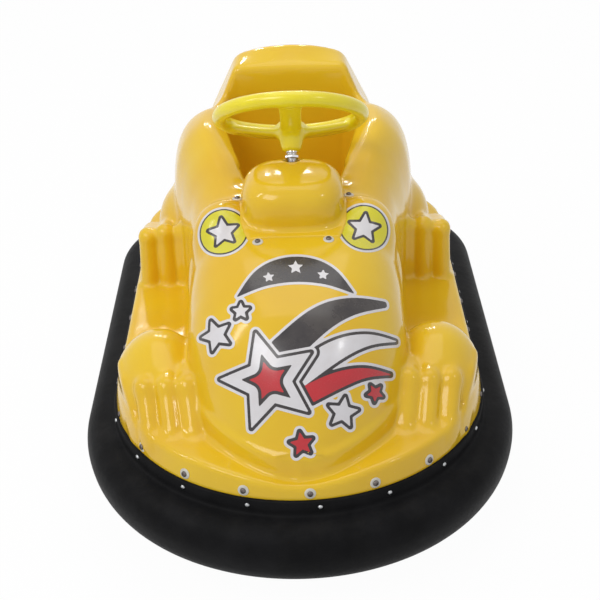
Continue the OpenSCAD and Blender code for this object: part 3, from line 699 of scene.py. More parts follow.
class Turned:
    """A mesh made of turned forms, each a profile of (radius, height) about its own axis."""

    def __init__(self):
        self.points, self.faces = [], []

    def add(self, profile, place, axis, sides=24, wave=None):
        """Adds a profile that ends on the axis. A wave gives the radius's share at each point."""
        quat = Vector((0, 0, 1)).rotation_difference(Vector(axis))
        start = len(self.points)
        n = len(profile)
        for k in range(sides):
            turn = 2 * math.pi * k / sides
            for r, z in profile:
                share = wave(r, z, turn) if wave else 1.0
                spot = Vector((r * share * math.cos(turn), r * share * math.sin(turn), z))
                self.points.append(tuple(Vector(place) + quat @ spot))
        for k in range(sides):
            a, b = start + k * n, start + (k + 1) % sides * n
            self.faces += [(a + i, b + i, b + i + 1, a + i + 1) for i in range(n - 1)]

    def made(self, name, angle=40.0):
        """The mesh as a piece, sharp where its faces meet at more than an angle."""
        piece = new_mesh(name, self.points, self.faces)
        shape = bmesh.new()
        shape.from_mesh(piece.data)
        bmesh.ops.remove_doubles(shape, verts=shape.verts, dist=1e-6)
        bmesh.ops.recalc_face_normals(shape, faces=shape.faces)
        for edge in shape.edges:
            edge.smooth = edge.calc_face_angle(math.pi) < math.radians(angle)
        shape.to_mesh(piece.data)
        shape.free()
        return piece


# Shader node groups

def group(name, output, inputs):
    """An empty shader node group with one output, and inputs by name and default."""
    tree = bpy.data.node_groups.new(name, "ShaderNodeTree")
    for label, default in inputs.items():
        kind = "NodeSocketColor" if isinstance(default, tuple) else "NodeSocketFloat"
        socket = tree.interface.new_socket(label, in_out="INPUT", socket_type=kind)
        socket.default_value = default
    kind = "NodeSocketColor" if output == "Colour" else "NodeSocketFloat"
    tree.interface.new_socket(output, in_out="OUTPUT", socket_type=kind)
    start, end = tree.nodes.new("NodeGroupInput"), tree.nodes.new("NodeGroupOutput")
    return tree, start, end


def feed(tree, socket, value):
    """Links another node's socket to an input, or sets the input to a value."""
    if isinstance(value, bpy.types.NodeSocket):
        tree.links.new(value, socket)
    else:
        socket.default_value = value


def node(tree, kind, inputs=None, **settings):
    """A node with its settings, and its inputs set to values or linked to sockets."""
    made = tree.nodes.new(kind)
    for key, value in settings.items():
        setattr(made, key, value)
    for key, value in (inputs or {}).items():
        feed(tree, made.inputs[key], value)
    return made


def math_node(tree, operation, a, b=0.0, clamp=False):
    made = node(tree, "ShaderNodeMath", {0: a, 1: b}, operation=operation, use_clamp=clamp)
    return made.outputs[0]


def ramp(tree, value, low, high):
    """0 to 1 while a value goes from low to high."""
    return node(tree, "ShaderNodeMapRange", {"Value": value, "From Min": low, "From Max": high},
                interpolation_type="SMOOTHSTEP").outputs["Result"]


def mix(tree, factor, a, b):
    """A colour between two colours, which are inputs 6 and 7 of Blender's Mix node."""
    return node(tree, "ShaderNodeMix", {"Factor": factor, 6: a, 7: b}, data_type="RGBA").outputs[2]


def where(tree):
    """The place on the car, in metres."""
    return node(tree, "ShaderNodeNewGeometry").outputs["Position"]


def colour_drift_group():
    """Two colours that drift into each other in broad soft patches."""
    tree, start, end = group("Colour drift", "Colour", {
        "Colour": (1, 1, 1, 1), "Deep colour": (0, 0, 0, 1), "Scale": 4.0, "Amount": 0.5})
    broad = node(tree, "ShaderNodeTexNoise",
                 {"Vector": where(tree), "Scale": start.outputs["Scale"], "Detail": 3.0})
    share = math_node(tree, "MULTIPLY", ramp(tree, broad.outputs["Fac"], 0.35, 0.7),
                      start.outputs["Amount"])
    colour = mix(tree, share, start.outputs["Colour"], start.outputs["Deep colour"])
    tree.links.new(colour, end.inputs["Colour"])
    return tree


def scratches_group():
    """Fine crossing scratches, as a mask."""
    tree, start, end = group("Scratches", "Mask", {"Scale": 30.0, "Amount": 0.5})
    masks = []
    for turn, stretch in ((0.4, 14.0), (1.5, 18.0), (2.5, 11.0)):
        turned = node(tree, "ShaderNodeVectorRotate",
                      {"Vector": where(tree), "Angle": turn}, rotation_type="Z_AXIS")
        long = node(tree, "ShaderNodeVectorMath",
                    {0: turned.outputs[0], 1: (1.0, stretch, stretch * 0.5)}, operation="MULTIPLY")
        fine = node(tree, "ShaderNodeTexNoise",
                    {"Vector": long.outputs[0], "Scale": start.outputs["Scale"], "Detail": 2.0})
        masks.append(ramp(tree, fine.outputs["Fac"], 0.66, 0.74))
    both = math_node(tree, "MAXIMUM", masks[0], masks[1])
    both = math_node(tree, "MAXIMUM", both, masks[2])
    patch = node(tree, "ShaderNodeTexNoise", {"Vector": where(tree), "Scale": 7.0, "Detail": 1.0})
    both = math_node(tree, "MULTIPLY", both, ramp(tree, patch.outputs["Fac"], 0.42, 0.62))
    both = math_node(tree, "MULTIPLY", both, start.outputs["Amount"])
    tree.links.new(both, end.inputs["Mask"])
    return tree


def dust_group():
    """Dust that gathers on what faces up, in cloudy patches, as a mask."""
    tree, start, end = group("Dust", "Mask", {"Scale": 9.0, "Amount": 0.4, "Everywhere": 0.2})
    facing = node(tree, "ShaderNodeSeparateXYZ",
                  {0: node(tree, "ShaderNodeNewGeometry").outputs["Normal"]}).outputs["Z"]
    up = math_node(tree, "MAXIMUM", ramp(tree, facing, 0.2, 1.0), start.outputs["Everywhere"])
    cloud = node(tree, "ShaderNodeTexNoise",
                 {"Vector": where(tree), "Scale": start.outputs["Scale"], "Detail": 8.0,
                  "Roughness": 0.65})
    cover = math_node(tree, "MULTIPLY", up, ramp(tree, cloud.outputs["Fac"], 0.38, 0.72))
    cover = math_node(tree, "MULTIPLY", cover, start.outputs["Amount"], clamp=True)
    tree.links.new(cover, end.inputs["Mask"])
    return tree


def grain_group():
    """A height made of a coarse wave and a fine grain."""
    tree, start, end = group("Grain", "Height", {
        "Wave scale": 12.0, "Wave height": 0.5, "Grain scale": 300.0, "Grain height": 0.1})
    wave = node(tree, "ShaderNodeTexNoise",
                {"Vector": where(tree), "Scale": start.outputs["Wave scale"], "Detail": 1.0})
    fine = node(tree, "ShaderNodeTexNoise",
                {"Vector": where(tree), "Scale": start.outputs["Grain scale"], "Detail": 2.0})
    low = math_node(tree, "MULTIPLY", wave.outputs["Fac"], start.outputs["Wave height"])
    high = math_node(tree, "MULTIPLY", fine.outputs["Fac"], start.outputs["Grain height"])
    tree.links.new(math_node(tree, "ADD", low, high), end.inputs["Height"])
    return tree


GROUPS = {"Colour drift": colour_drift_group, "Scratches": scratches_group,
          "Dust": dust_group, "Grain": grain_group}


def effect(tree, name, inputs):
    """Places a shared effect in a material, with its own values."""
    shared = bpy.data.node_groups.get(name) or GROUPS[name]()
    return node(tree, "ShaderNodeGroup", inputs, node_tree=shared).outputs[0]


def rgba(colour):
    """A colour with full cover: one of the panel's by its name, or red, green and blue."""
    red, green, blue = getattr(colours(), colour) if isinstance(colour, str) else colour
    return (red, green, blue, 1.0)


def finish_material(name, colour, deep, rough, worn, drift=(4.0, 0.5), scratch=(30.0, 0.3),
                    dust=(9.0, 0.1, 0.1), grain=(12.0, 0.5, 300.0, 0.1), bump=0.05,
                    metallic=0.0, coat=0.0, coat_rough=0.05, specular=0.5, dust_colour="dust"):
    """A worn surface: drifting colour, scratches and dust, with a bump of waves and grain.

    rough is the clean surface's roughness and worn that of its scratched and dusty places.
    drift and scratch are (scale, amount), dust is (scale, amount, least cover on the sides), and
    grain is (wave scale, wave height, grain scale, grain height).
    """
    made = bpy.data.materials.new(name)
    made.use_nodes = True
    tree = made.node_tree
    shader = tree.nodes["Principled BSDF"]
    base = effect(tree, "Colour drift", {"Colour": rgba(colour), "Deep colour": rgba(deep),
                                         "Scale": drift[0], "Amount": drift[1]})
    marks = effect(tree, "Scratches", {"Scale": scratch[0], "Amount": scratch[1]})
    dirt = effect(tree, "Dust", {"Scale": dust[0], "Amount": dust[1], "Everywhere": dust[2]})
    dusty = mix(tree, dirt, base, rgba(dust_colour))
    tree.links.new(dusty, shader.inputs["Base Color"])
    wear = math_node(tree, "MAXIMUM", marks, dirt)
    rough_all = node(tree, "ShaderNodeMapRange",
                     {"Value": wear, "To Min": rough, "To Max": worn}).outputs["Result"]
    tree.links.new(rough_all, shader.inputs["Roughness"])
    height = effect(tree, "Grain", {"Wave scale": grain[0], "Wave height": grain[1],
                                    "Grain scale": grain[2], "Grain height": grain[3]})
    relief = node(tree, "ShaderNodeBump", {"Height": height, "Strength": 1.0, "Distance": bump})
    tree.links.new(relief.outputs["Normal"], shader.inputs["Normal"])
    shader.inputs["Metallic"].default_value = metallic
    shader.inputs["Specular IOR Level"].default_value = specular
    shader.inputs["Coat Weight"].default_value = coat
    shader.inputs["Coat Roughness"].default_value = coat_rough
    return made


# What all stickers share of their finish.
STICKER = dict(
    rough=0.26, worn=0.6, drift=(20.0, 0.5), scratch=(70.0, 0.35), dust=(10.0, 0.08, 0.2),
    grain=(18.0, 0.8, 600.0, 0.03), bump=0.0006, coat=0.25, coat_rough=0.12,
    dust_colour=(0.5, 0.42, 0.3))

# What finish_material takes for each finish. A colour given by name is one of the panel's.
FINISHES = {
    "Yellow gel coat": dict(
        colour="shell", deep="shell_deep", rough=0.13, worn=0.55, drift=(3.0, 0.75),
        scratch=(24.0, 0.35), dust=(6.0, 0.08, 0.15), grain=(14.0, 1.0, 420.0, 0.03), bump=0.0012,
        specular=0.4, dust_colour=(0.66, 0.48, 0.10)),
    "Lemon plastic": dict(
        colour="wheel", deep=(0.80, 0.60, 0.006), rough=0.24, worn=0.5, drift=(9.0, 0.5),
        scratch=(50.0, 0.3), dust=(12.0, 0.06, 0.2), grain=(30.0, 0.5, 500.0, 0.06), bump=0.0008,
        coat=0.2, coat_rough=0.15, dust_colour=(0.6, 0.5, 0.25)),
    "Bumper rubber": dict(
        colour="rubber", deep=(0.011, 0.011, 0.012), rough=0.46, worn=0.75, drift=(11.0, 0.8),
        scratch=(40.0, 0.4), dust=(16.0, 0.03, 0.35), grain=(60.0, 0.6, 900.0, 0.35), bump=0.0010,
        specular=0.04),
    "Tyre rubber": dict(
        colour=(0.020, 0.020, 0.021), deep=(0.035, 0.034, 0.033), rough=0.7, worn=0.92,
        drift=(20.0, 0.7), scratch=(60.0, 0.4), dust=(24.0, 0.4, 0.6),
        grain=(90.0, 0.5, 900.0, 0.4), bump=0.001),
    "Black chassis paint": dict(
        colour=(0.03, 0.03, 0.033), deep=(0.075, 0.05, 0.035), rough=0.42, worn=0.8,
        drift=(22.0, 0.4), scratch=(40.0, 0.5), dust=(14.0, 0.4, 0.3),
        grain=(40.0, 0.6, 600.0, 0.2), bump=0.0008),
    "Zinc plate": dict(
        colour=(0.50, 0.51, 0.52), deep=(0.36, 0.37, 0.38), rough=0.34, worn=0.65,
        drift=(60.0, 0.8), scratch=(80.0, 0.5), dust=(20.0, 0.25, 0.2),
        grain=(80.0, 0.3, 900.0, 0.15), bump=0.0003, metallic=1.0),
    "Dark bolt steel": dict(
        colour=(0.16, 0.14, 0.13), deep=(0.10, 0.08, 0.075), rough=0.36, worn=0.65,
        drift=(90.0, 0.8), scratch=(120.0, 0.5), dust=(30.0, 0.2, 0.2),
        grain=(80.0, 0.3, 900.0, 0.15), bump=0.0003, metallic=0.8),
    "Turned steel": dict(
        colour=(0.50, 0.50, 0.50), deep=(0.33, 0.32, 0.31), rough=0.28, worn=0.6, drift=(40.0, 0.6),
        scratch=(120.0, 0.6), dust=(20.0, 0.2, 0.2), grain=(200.0, 0.4, 900.0, 0.2), bump=0.0003,
        metallic=1.0),
    "Shaft chrome": dict(
        colour=(0.72, 0.72, 0.73), deep=(0.55, 0.55, 0.57), rough=0.12, worn=0.5, drift=(50.0, 0.5),
        scratch=(120.0, 0.4), dust=(30.0, 0.15, 0.2), grain=(90.0, 0.1, 900.0, 0.05), bump=0.0002,
        metallic=1.0),
    "Battery case": dict(
        colour=(0.04, 0.04, 0.045), deep=(0.06, 0.06, 0.065), rough=0.5, worn=0.8,
        drift=(14.0, 0.6), scratch=(40.0, 0.5), dust=(12.0, 0.5, 0.2),
        grain=(120.0, 0.3, 700.0, 0.3), bump=0.0006),
    "Motor paint": dict(
        colour=(0.20, 0.21, 0.22), deep=(0.13, 0.13, 0.135), rough=0.45, worn=0.8,
        drift=(18.0, 0.6), scratch=(60.0, 0.5), dust=(18.0, 0.4, 0.3),
        grain=(200.0, 0.5, 900.0, 0.3), bump=0.0006),
    "Cast wheel metal": dict(
        colour=(0.30, 0.30, 0.31), deep=(0.20, 0.18, 0.16), rough=0.48, worn=0.8, drift=(24.0, 0.6),
        scratch=(60.0, 0.4), dust=(18.0, 0.35, 0.3), grain=(240.0, 0.6, 900.0, 0.2), bump=0.0006,
        metallic=0.7),
    "White nylon": dict(
        colour=(0.70, 0.68, 0.62), deep=(0.55, 0.52, 0.45), rough=0.38, worn=0.7, drift=(60.0, 0.6),
        scratch=(120.0, 0.3), dust=(30.0, 0.2, 0.3), grain=(120.0, 0.4, 900.0, 0.1), bump=0.0003),
    "Black sticker": dict(STICKER, colour="ink", deep=(0.03, 0.025, 0.028)),
    "White sticker": dict(STICKER, colour="white", deep=(0.66, 0.62, 0.62)),
    "Red sticker": dict(STICKER, colour="red", deep=(0.45, 0.012, 0.02)),
    "Lime sticker": dict(STICKER, colour="lime", deep=(0.66, 0.57, 0.01)),
}

# The finish of each slot of the record.
SLOT_FINISH = {
    "body_yellow": "Yellow gel coat", "wheel_yellow": "Lemon plastic",
    "bumper_rubber": "Bumper rubber", "tyre_rubber": "Tyre rubber", "zinc_steel": "Zinc plate",
    "chassis_paint": "Black chassis paint", "machined_steel": "Turned steel",
    "shaft_chrome": "Shaft chrome", "battery_case": "Battery case", "motor_case": "Motor paint",
    "wheel_metal": "Cast wheel metal",
}


def material(name):
    """A finish by its name, made once."""
    return bpy.data.materials.get(name) or finish_material(name, **FINISHES[name])


def hold(piece, finish, slot, body, *nodes):
    """Gives a piece its finish and its body, and hides the nodes it stands for. The slot is not
    used.
    """
    piece.data.materials.clear()
    piece.data.materials.append(material(finish))
    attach(piece, body)
    if nodes:
        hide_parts(*nodes)


def steering_frame():
    """The steering wheel's own frame: its middle, with its axis along Z."""
    turn = next(j for j in frame["joints"] if j["name"] == "steering_turn")
    up = Vector(turn["axis"]).normalized()
    side = Vector((1, 0, 0))
    made = Matrix.Translation(Vector(turn["pos_m"])).to_4x4()
    for row, parts in enumerate(zip(side, up.cross(side), up)):
        for column, part in enumerate(parts):
            made[row][column] = part
    return made


def shaft_distance(x, y, z):
    """How far points are from the steering shaft's axis."""
    place = steering_frame()
    start, along = place.translation, place.to_3x3() @ Vector((0, 0, 1))
    u, v, w = x - start.x, y - start.y, z - start.z
    t = u * along.x + v * along.y + w * along.z
    return np.sqrt(np.maximum(u * u + v * v + w * w - t * t, 0))


class MESH_OT_bumper_car_shell(bpy.types.Operator):
    """Build the moulded shell in its front and rear halves"""

    bl_idname = "mesh.bumper_car_shell"
    bl_label = "Moulded shell"

    def execute(self, context):
        size = shell_size()
        half_wide, rear, top, hem = 0.46, 0.79, 0.87, 0.145
        steps = round(half_wide / size.grid)
        g = Grid((-steps * size.grid, *SHELL_LOW), (half_wide, rear, top), size.grid)
        field = np.maximum(shell_form(g, size), hem - g.z)
        points, quads = surface(g, field)
        points = settle(g, field, points)
        normals = outward(g, field, points)
        quads = self.opened(points, quads, size)
        middle = points[quads].mean(1)
        front = middle[:, 1] < size.split
        lining_top, lining_near = 0.66, 0.004
        lining = ~front & (middle[:, 2] < lining_top)
        lining &= np.abs(sample(g, cockpit_air(g, size), middle)) < lining_near
        for name, part, nodes in (("front_skin", front, ("front_body", "deck")),
                                  ("rear_skin", ~front & ~lining, ("rear_body",)),
                                  ("cockpit_skin", lining, ("cockpit_tub",))):
            at, facing, faces = used_only(points, normals, quads[part].tolist())
            piece = thick_shell(name, at, facing, faces, size.wall)
            hold(piece, "Yellow gel coat", "body_yellow", "root", *nodes)
        return {"FINISHED"}

    def opened(self, points, quads, size):
        """Cuts the shell level at its feet, and opens it below and round the steering shaft."""
        tub_half, tub_front, tub_rear = 0.2, -0.06, 0.46
        in_tub = (np.abs(points[:, 0]) < tub_half) & (points[:, 1] > tub_front)
        foot = np.where(in_tub & (points[:, 1] < tub_rear), size.tub_foot, size.skirt_foot)
        quads = quads[(points[quads, 2] > foot[quads]).any(1)]
        points[:, 2] = np.maximum(points[:, 2], foot)
        passage_radius, passage_low = 0.026, 0.6
        middle = points[quads].mean(1)
        passage = (shaft_distance(*middle.T) < passage_radius) & (middle[:, 1] < size.split)
        return quads[~(passage & (middle[:, 2] > passage_low))]


class MESH_OT_bumper_car_pod(bpy.types.Operator):
    """Build the cover of the steering column"""

    bl_idname = "mesh.bumper_car_pod"
    bl_label = "Column cover"

    def execute(self, context):
        size = shell_size()
        g = Grid((-0.16, -0.30, 0.56), (0.16, 0.02, 0.80), 0.004)
        flange_wall, shaft_hole = 0.003, 0.020
        body = meet(hood_form(g, size), -rim_air(g), 0.03)
        field = np.maximum(pod_form(g, body), -(body + flange_wall))
        field = meet(field, shaft_hole - shaft_distance(g.x, g.y, g.z), 0.003)
        hold(formed("column_pod", g, field), "Yellow gel coat", "body_yellow", "root",
             "column_cover")
        return {"FINISHED"}


class MESH_OT_bumper_car_steering(bpy.types.Operator):
    """Build the steering wheel and the shaft under it"""

    bl_idname = "mesh.bumper_car_steering"
    bl_label = "Steering"

    def execute(self, context):
        size, place = fitting_size(), steering_frame()
        reach, step = size.wheel_radius + size.wheel_tube / 2 + 0.006, 0.003
        g = Grid((-reach, -reach, -size.hub_end - 3 * step), (reach, reach, 8 * step), step)
        wheel = formed("yellow_wheel", g, wheel_form(g, size), place)
        hold(wheel, "Lemon plastic", "wheel_yellow", "steering", "steering_wheel")
        shaft, axis = Turned(), place.to_3x3() @ Vector((0, 0, 1))
        self.add_shaft(shaft, place.translation, axis, size)
        self.add_lock_nut(shaft, place.translation, axis)
        hold(shaft.made("threaded_shaft"), "Shaft chrome", "shaft_chrome", "steering",
             "steering_shaft")
        return {"FINISHED"}

    def add_shaft(self, shaft, place, axis, size):
        """Adds the upper shaft: a ball, a smooth run and a thread up to the hub."""
        length, ball, run, thread = 0.395, 0.018, 0.012, 0.0135
        pitch, depth, thread_low = 0.0025, 0.09, -0.120
        profile = [(0.0, -length - ball)]
        profile += [(ball * math.sin(a), -length - ball * math.cos(a))
                    for a in np.linspace(0.15, 2.4, 22)]
        profile += [(run, thread_low - 0.002), (thread, thread_low)]
        rise = np.arange(thread_low, -size.hub_end + 0.002, pitch / 8)
        profile += [(thread, z) for z in rise] + [(0.0, rise[-1])]

        def cut(r, z, turn):
            if r < thread or z > -size.hub_end - 0.001 or z < thread_low + 0.0005:
                return 1.0
            wave = (z / pitch - turn / (2 * math.pi)) % 1.0
            return 1.0 - depth * abs(2 * wave - 1)

        shaft.add(profile, place, axis, sides=40, wave=cut)

    def add_lock_nut(self, shaft, place, axis):
        """Adds the hexagon nut that locks the wheel on its thread."""
        corner, low, high, bevel = 0.0165, -0.103, -0.095, 0.0015
        chamfer = corner * 0.90
        profile = [(0.0, low), (chamfer, low), (corner, low + bevel), (corner, high - bevel),
                   (chamfer, high), (0.0, high)]

        def six(r, z, turn):
            return 1.0 / math.cos((turn + math.pi / 6) % (math.pi / 3) - math.pi / 6) * 0.93

        shaft.add(profile, place, axis, sides=48, wave=six)


class MESH_OT_bumper_car_ring(bpy.types.Operator):
    """Build the rubber bumper ring and the bolts round it and round the skirt"""

    bl_idname = "mesh.bumper_car_ring"
    bl_label = "Bumper ring and bolts"

    def execute(self, context):
        plan, size = shell_size(), fitting_size()
        # Each profile's columns: radius, height
        bulge = rounded([
            (0.4455, 0.2285), (0.4480, 0.2185), (0.4660, 0.2175), (0.4840, 0.2150),
            (0.5000, 0.2060), (0.5135, 0.1900), (0.5200, 0.1660), (0.5200, 0.1440),
            (0.5140, 0.1120), (0.4990, 0.0860), (0.4760, 0.0730), (0.4480, 0.0725),
            (0.4330, 0.0880)], 2)
        top = [(0.4300, 0.1000), (0.4300, 0.2540), (0.4310, 0.2550), (0.4440, 0.2550),
               (0.4455, 0.2535)]
        washer = [(0, -0.001), (0.0118, -0.001), (0.0124, -0.0004), (0.0124, 0.0010),
                  (0.0114, 0.0020), (0.0086, 0.0023), (0.0, 0.0023)]
        head = [(0, 0.0014), (0.0064, 0.0014), (0.0066, 0.0030), (0.0060, 0.0050),
                (0.0044, 0.0064), (0.0030, 0.0068), (0.0026, 0.0052), (0, 0.0050)]
        dome = [(0, -0.001), (0.0056, -0.001), (0.0058, 0.0006), (0.0052, 0.0022),
                (0.0036, 0.0034), (0.0016, 0.0039), (0, 0.0039)]
        ring = swept("rubber_ring", plan, bulge + top)
        hold(ring, "Bumper rubber", "bumper_rubber", "root", "bumper_ring")
        washers, heads, studs = Turned(), Turned(), Turned()
        for spot, out in self.skirt_spots(plan, size) + self.cover_spots(plan):
            washers.add(washer, spot, out, sides=28)
            heads.add(head, spot, out, sides=20)
        wall_radius, stud_height, offset = 0.4455, 0.2405, 0.04
        for x, y, a, b in plan_places(plan, wall_radius, size.ring_pitch, offset):
            studs.add(dome, (x, y, stud_height), (a, b, 0), sides=18)
        for piece, name, finish in ((washers, "skirt_washers", "White nylon"),
                                    (heads, "skirt_bolts", "Dark bolt steel"),
                                    (studs, "ring_bolts", "Zinc plate")):
            hold(piece.made(name), finish, "zinc_steel", "root")
        return {"FINISHED"}

    def skirt_spots(self, plan, size):
        """Places and directions of the bolts round the leaning skirt."""
        radius, height, tilt, offset = 0.4354, 0.2710, 0.17, 0.019
        return [((x, y, height), Vector((a, b, tilt)).normalized())
                for x, y, a, b in plan_places(plan, radius, size.rim_pitch, offset)]

    def cover_spots(self, plan):
        """Places and directions of the four bolts that hold the column cover on the head."""
        places = ((-0.083, -0.272), (0.079, -0.270), (-0.134, -0.084), (0.134, -0.080))
        start_height, drops, drop = 0.70, 40, 0.02
        g = Grid((-0.20, -0.34, 0.54), (0.20, -0.06, 0.76), plan.grid)
        body = hood_form(g, plan)
        spots = np.array([(x, y, start_height) for x, y in places])
        for _ in range(drops):
            spots[:, 2] -= np.clip(sample(g, body, spots), -drop, drop)
        return [(tuple(spot), Vector(out)) for spot, out in zip(spots, outward(g, body, spots))]


class MESH_OT_bumper_car_tyres(bpy.types.Operator):
    """Build the three solid rubber tyres with their tread"""

    bl_idname = "mesh.bumper_car_tyres"
    bl_label = "Tyres"

    def execute(self, context):
        # Half a section from the bore out to the middle groove: radius, distance from the middle
        half = [(0.0585, 0.0200), (0.0585, 0.0255), (0.0640, 0.0272), (0.0780, 0.0278),
                (0.0800, 0.0272), (0.0820, 0.0278), (0.0905, 0.0268), (0.0960, 0.0245),
                (0.0988, 0.0205), (0.0997, 0.0150), (0.0999, 0.0120), (0.0972, 0.0110),
                (0.0972, 0.0086), (0.0999, 0.0076), (0.0999, 0.0024), (0.0972, 0.0014)]
        profile = half + [(r, -z) for r, z in reversed(half)] + half[:1]
        shoulder, rib_edge = 0.098, 0.011
        notches, slant, notch_share, notch_depth = 72, 60, 0.24, 0.025

        def tread(r, z, turn):
            at = (turn * notches / (2 * math.pi) + slant * abs(z)) % 1.0
            in_notch = r > shoulder and abs(z) > rib_edge and at < notch_share
            return 1.0 - notch_depth if in_notch else 1.0

        for node_name, body in (("drive_tyre", "drive_wheel"),
                                ("rear_tyre_left", "rear_wheel_left"),
                                ("rear_tyre_right", "rear_wheel_right")):
            low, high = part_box(node_name)
            middle = [(a + b) / 2 for a, b in zip(low, high)]
            tyre = Turned()
            tyre.add(profile, middle, (1, 0, 0), sides=4 * notches, wave=tread)
            hold(tyre.made(f"{node_name}_tread", 35.0), "Tyre rubber", "tyre_rubber", body,
                 node_name)
        return {"FINISHED"}


class MESH_OT_bumper_car_stickers(bpy.types.Operator):
    """Lay the printed stickers over the hood and the two lobes above it"""

    bl_idname = "mesh.bumper_car_stickers"
    bl_label = "Stickers"

    def layers(self, u, v):
        """The stickers' films from the lowest up: colour, distance, height over the shell."""
        ink, margin, gap = 0.0065, 0.0125, 0.0190

        def shape(*outlines):
            return np.minimum.reduce([outline_distance(u, v, corners) for corners in outlines])

        big = star(-0.062, -0.060, 0.108, 14)
        # Columns: u, v, half width
        tails = [stroke(rows) for rows in (
            ((-0.030, 0.000, 0.026), (0.050, 0.072, 0.024),
             (0.120, 0.100, 0.014), (0.196, 0.104, 0.001)),
            ((0.000, -0.052, 0.026), (0.085, 0.004, 0.023),
             (0.155, 0.026, 0.013), (0.220, 0.022, 0.001)),
            ((0.012, -0.096, 0.020), (0.080, -0.064, 0.019),
             (0.145, -0.046, 0.011), (0.204, -0.052, 0.001)))]
        band = shape(stroke((
            (-0.128, 0.128, 0.001), (-0.070, 0.176, 0.026), (0.000, 0.192, 0.033),
            (0.070, 0.176, 0.026), (0.128, 0.128, 0.001))))
        # Columns: u, v, radius, turn
        small_white = [star(*row) for row in (
            (0.094, -0.132, 0.034, -10), (-0.176, 0.044, 0.036, 20), (-0.120, 0.094, 0.020, 0))]
        small_red = [star(*row) for row in ((0.004, -0.196, 0.026, 8), (0.166, -0.092, 0.020, 30))]
        dots = [star(*row) for row in (
            (-0.058, 0.170, 0.014, 6), (0.002, 0.192, 0.018, 0), (0.062, 0.172, 0.014, -6))]
        disc_u, disc_v, disc_radius = 0.163, 0.292, 0.054
        on_discs = [star(side * disc_u, disc_v, 0.036, side * -8) for side in (-1, 1)]
        discs = np.minimum(*(np.hypot(u - side * disc_u, v - disc_v) for side in (-1, 1)))
        discs -= disc_radius

        main, trail = shape(big), shape(*tails)
        stars = shape(big, *small_white, *small_red)
        clear = gap - main
        white_tail, red_tail = (np.maximum(shape(tail), clear) for tail in tails[1:])
        edge = np.minimum(np.minimum(stars, trail) - margin,
                          np.minimum(band - 0.006, discs - 0.009))
        inked = np.minimum(stars - ink, np.maximum(trail, clear) - ink)
        black = np.minimum(inked, np.minimum(band, discs - 0.0035))
        white = np.minimum(np.minimum(main, white_tail), shape(*small_white, *on_discs, *dots))
        red = np.minimum(np.minimum(main + 0.026, red_tail), shape(*small_red))
        return (("white", edge, 0.00035), ("black", black, 0.00055), ("lime", discs, 0.00070),
                ("black", shape(*on_discs) - 0.006, 0.00085), ("white", white, 0.00100),
                ("black", main + 0.019, 0.00112), ("red", red, 0.00124))

    def laid(self, flat, faces, height, g, field):
        """A flat film laid on the shell: its points, their normals and its faces."""
        size = fitting_size()
        fall, start = size.sticker_fall, 0.05
        right, up = np.array((1.0, 0, 0)), np.array((0, math.sin(fall), math.cos(fall)))
        into = np.array((0, math.cos(fall), -math.sin(fall)))
        points = np.array(size.sticker_place) + flat[:, :1] * right + flat[:, 1:] * up
        points = points - start * into
        for _ in range(60):
            step = np.clip(sample(g, field, points), -0.01, 0.03)
            points = points + into * step[:, None] * 0.8
        normals = outward(g, field, points)
        on_shell = np.abs(sample(g, field, points)) < 2e-4
        good = on_shell & (points[:, 1] < shell_size().split - 0.002)
        return points + normals * height, normals, [f for f in faces if good[list(f)].all()]

    def execute(self, context):
        size, plan = fitting_size(), shell_size()
        # The shell's own lattice, so that the films lie on the very surface of the shell
        half_wide, rear, top, cells_ahead, cells_up = 0.27, -0.06, 0.90, 9, 19
        low = (-math.ceil(half_wide / plan.grid) * plan.grid,
               SHELL_LOW[0] - cells_ahead * plan.grid, SHELL_LOW[1] + cells_up * plan.grid)
        g = Grid(low, (half_wide, rear, top), plan.grid)
        field = shell_form(g, plan)
        flat_low, flat_high, film = (-0.26, -0.27), (0.26, 0.38), 0.0002
        at_u, at_v = (np.arange(a, b, size.sticker_step) for a, b in zip(flat_low, flat_high))
        u, v = np.meshgrid(at_u, at_v, indexing="ij")
        films = {}
        for colour, value, height in self.layers(u, v):
            flat, faces = filled(value, flat_low, size.sticker_step)
            films.setdefault(colour, []).append(self.laid(flat, faces, height, g, field))
        for colour, parts in films.items():
            points, normals = (np.concatenate([part[i] for part in parts]) for i in (0, 1))
            starts = np.cumsum([0] + [len(part[0]) for part in parts]).tolist()
            faces = [tuple(i + start for i in face)
                     for start, part in zip(starts, parts) for face in part[2]]
            piece = thick_shell(f"stickers_{colour}", *used_only(points, normals, faces), film)
            hold(piece, f"{colour.capitalize()} sticker", "body_yellow", "root")
        return {"FINISHED"}


class MESH_OT_bumper_car_frame_finish(bpy.types.Operator):
    """Give the carried-over parts their finishes"""

    bl_idname = "mesh.bumper_car_frame_finish"
    bl_label = "Frame finishes"

    def execute(self, context):
        for part in frame["nodes"].values():
            for place in part.material_slots:
                slot_name = place.material.name.split(".")[0]
                if slot_name in SLOT_FINISH:
                    place.material = material(SLOT_FINISH[slot_name])
        return {"FINISHED"}


def backdrop_rays(tree):
    """1 for the rays that see the backdrop: the camera's, and those that metal and glass send."""
    path = node(tree, "ShaderNodeLightPath")
    seen = math_node(tree, "MAXIMUM", path.outputs["Is Camera Ray"], path.outputs["Is Glossy Ray"])
    return math_node(tree, "MAXIMUM", seen, path.outputs["Is Transmission Ray"])


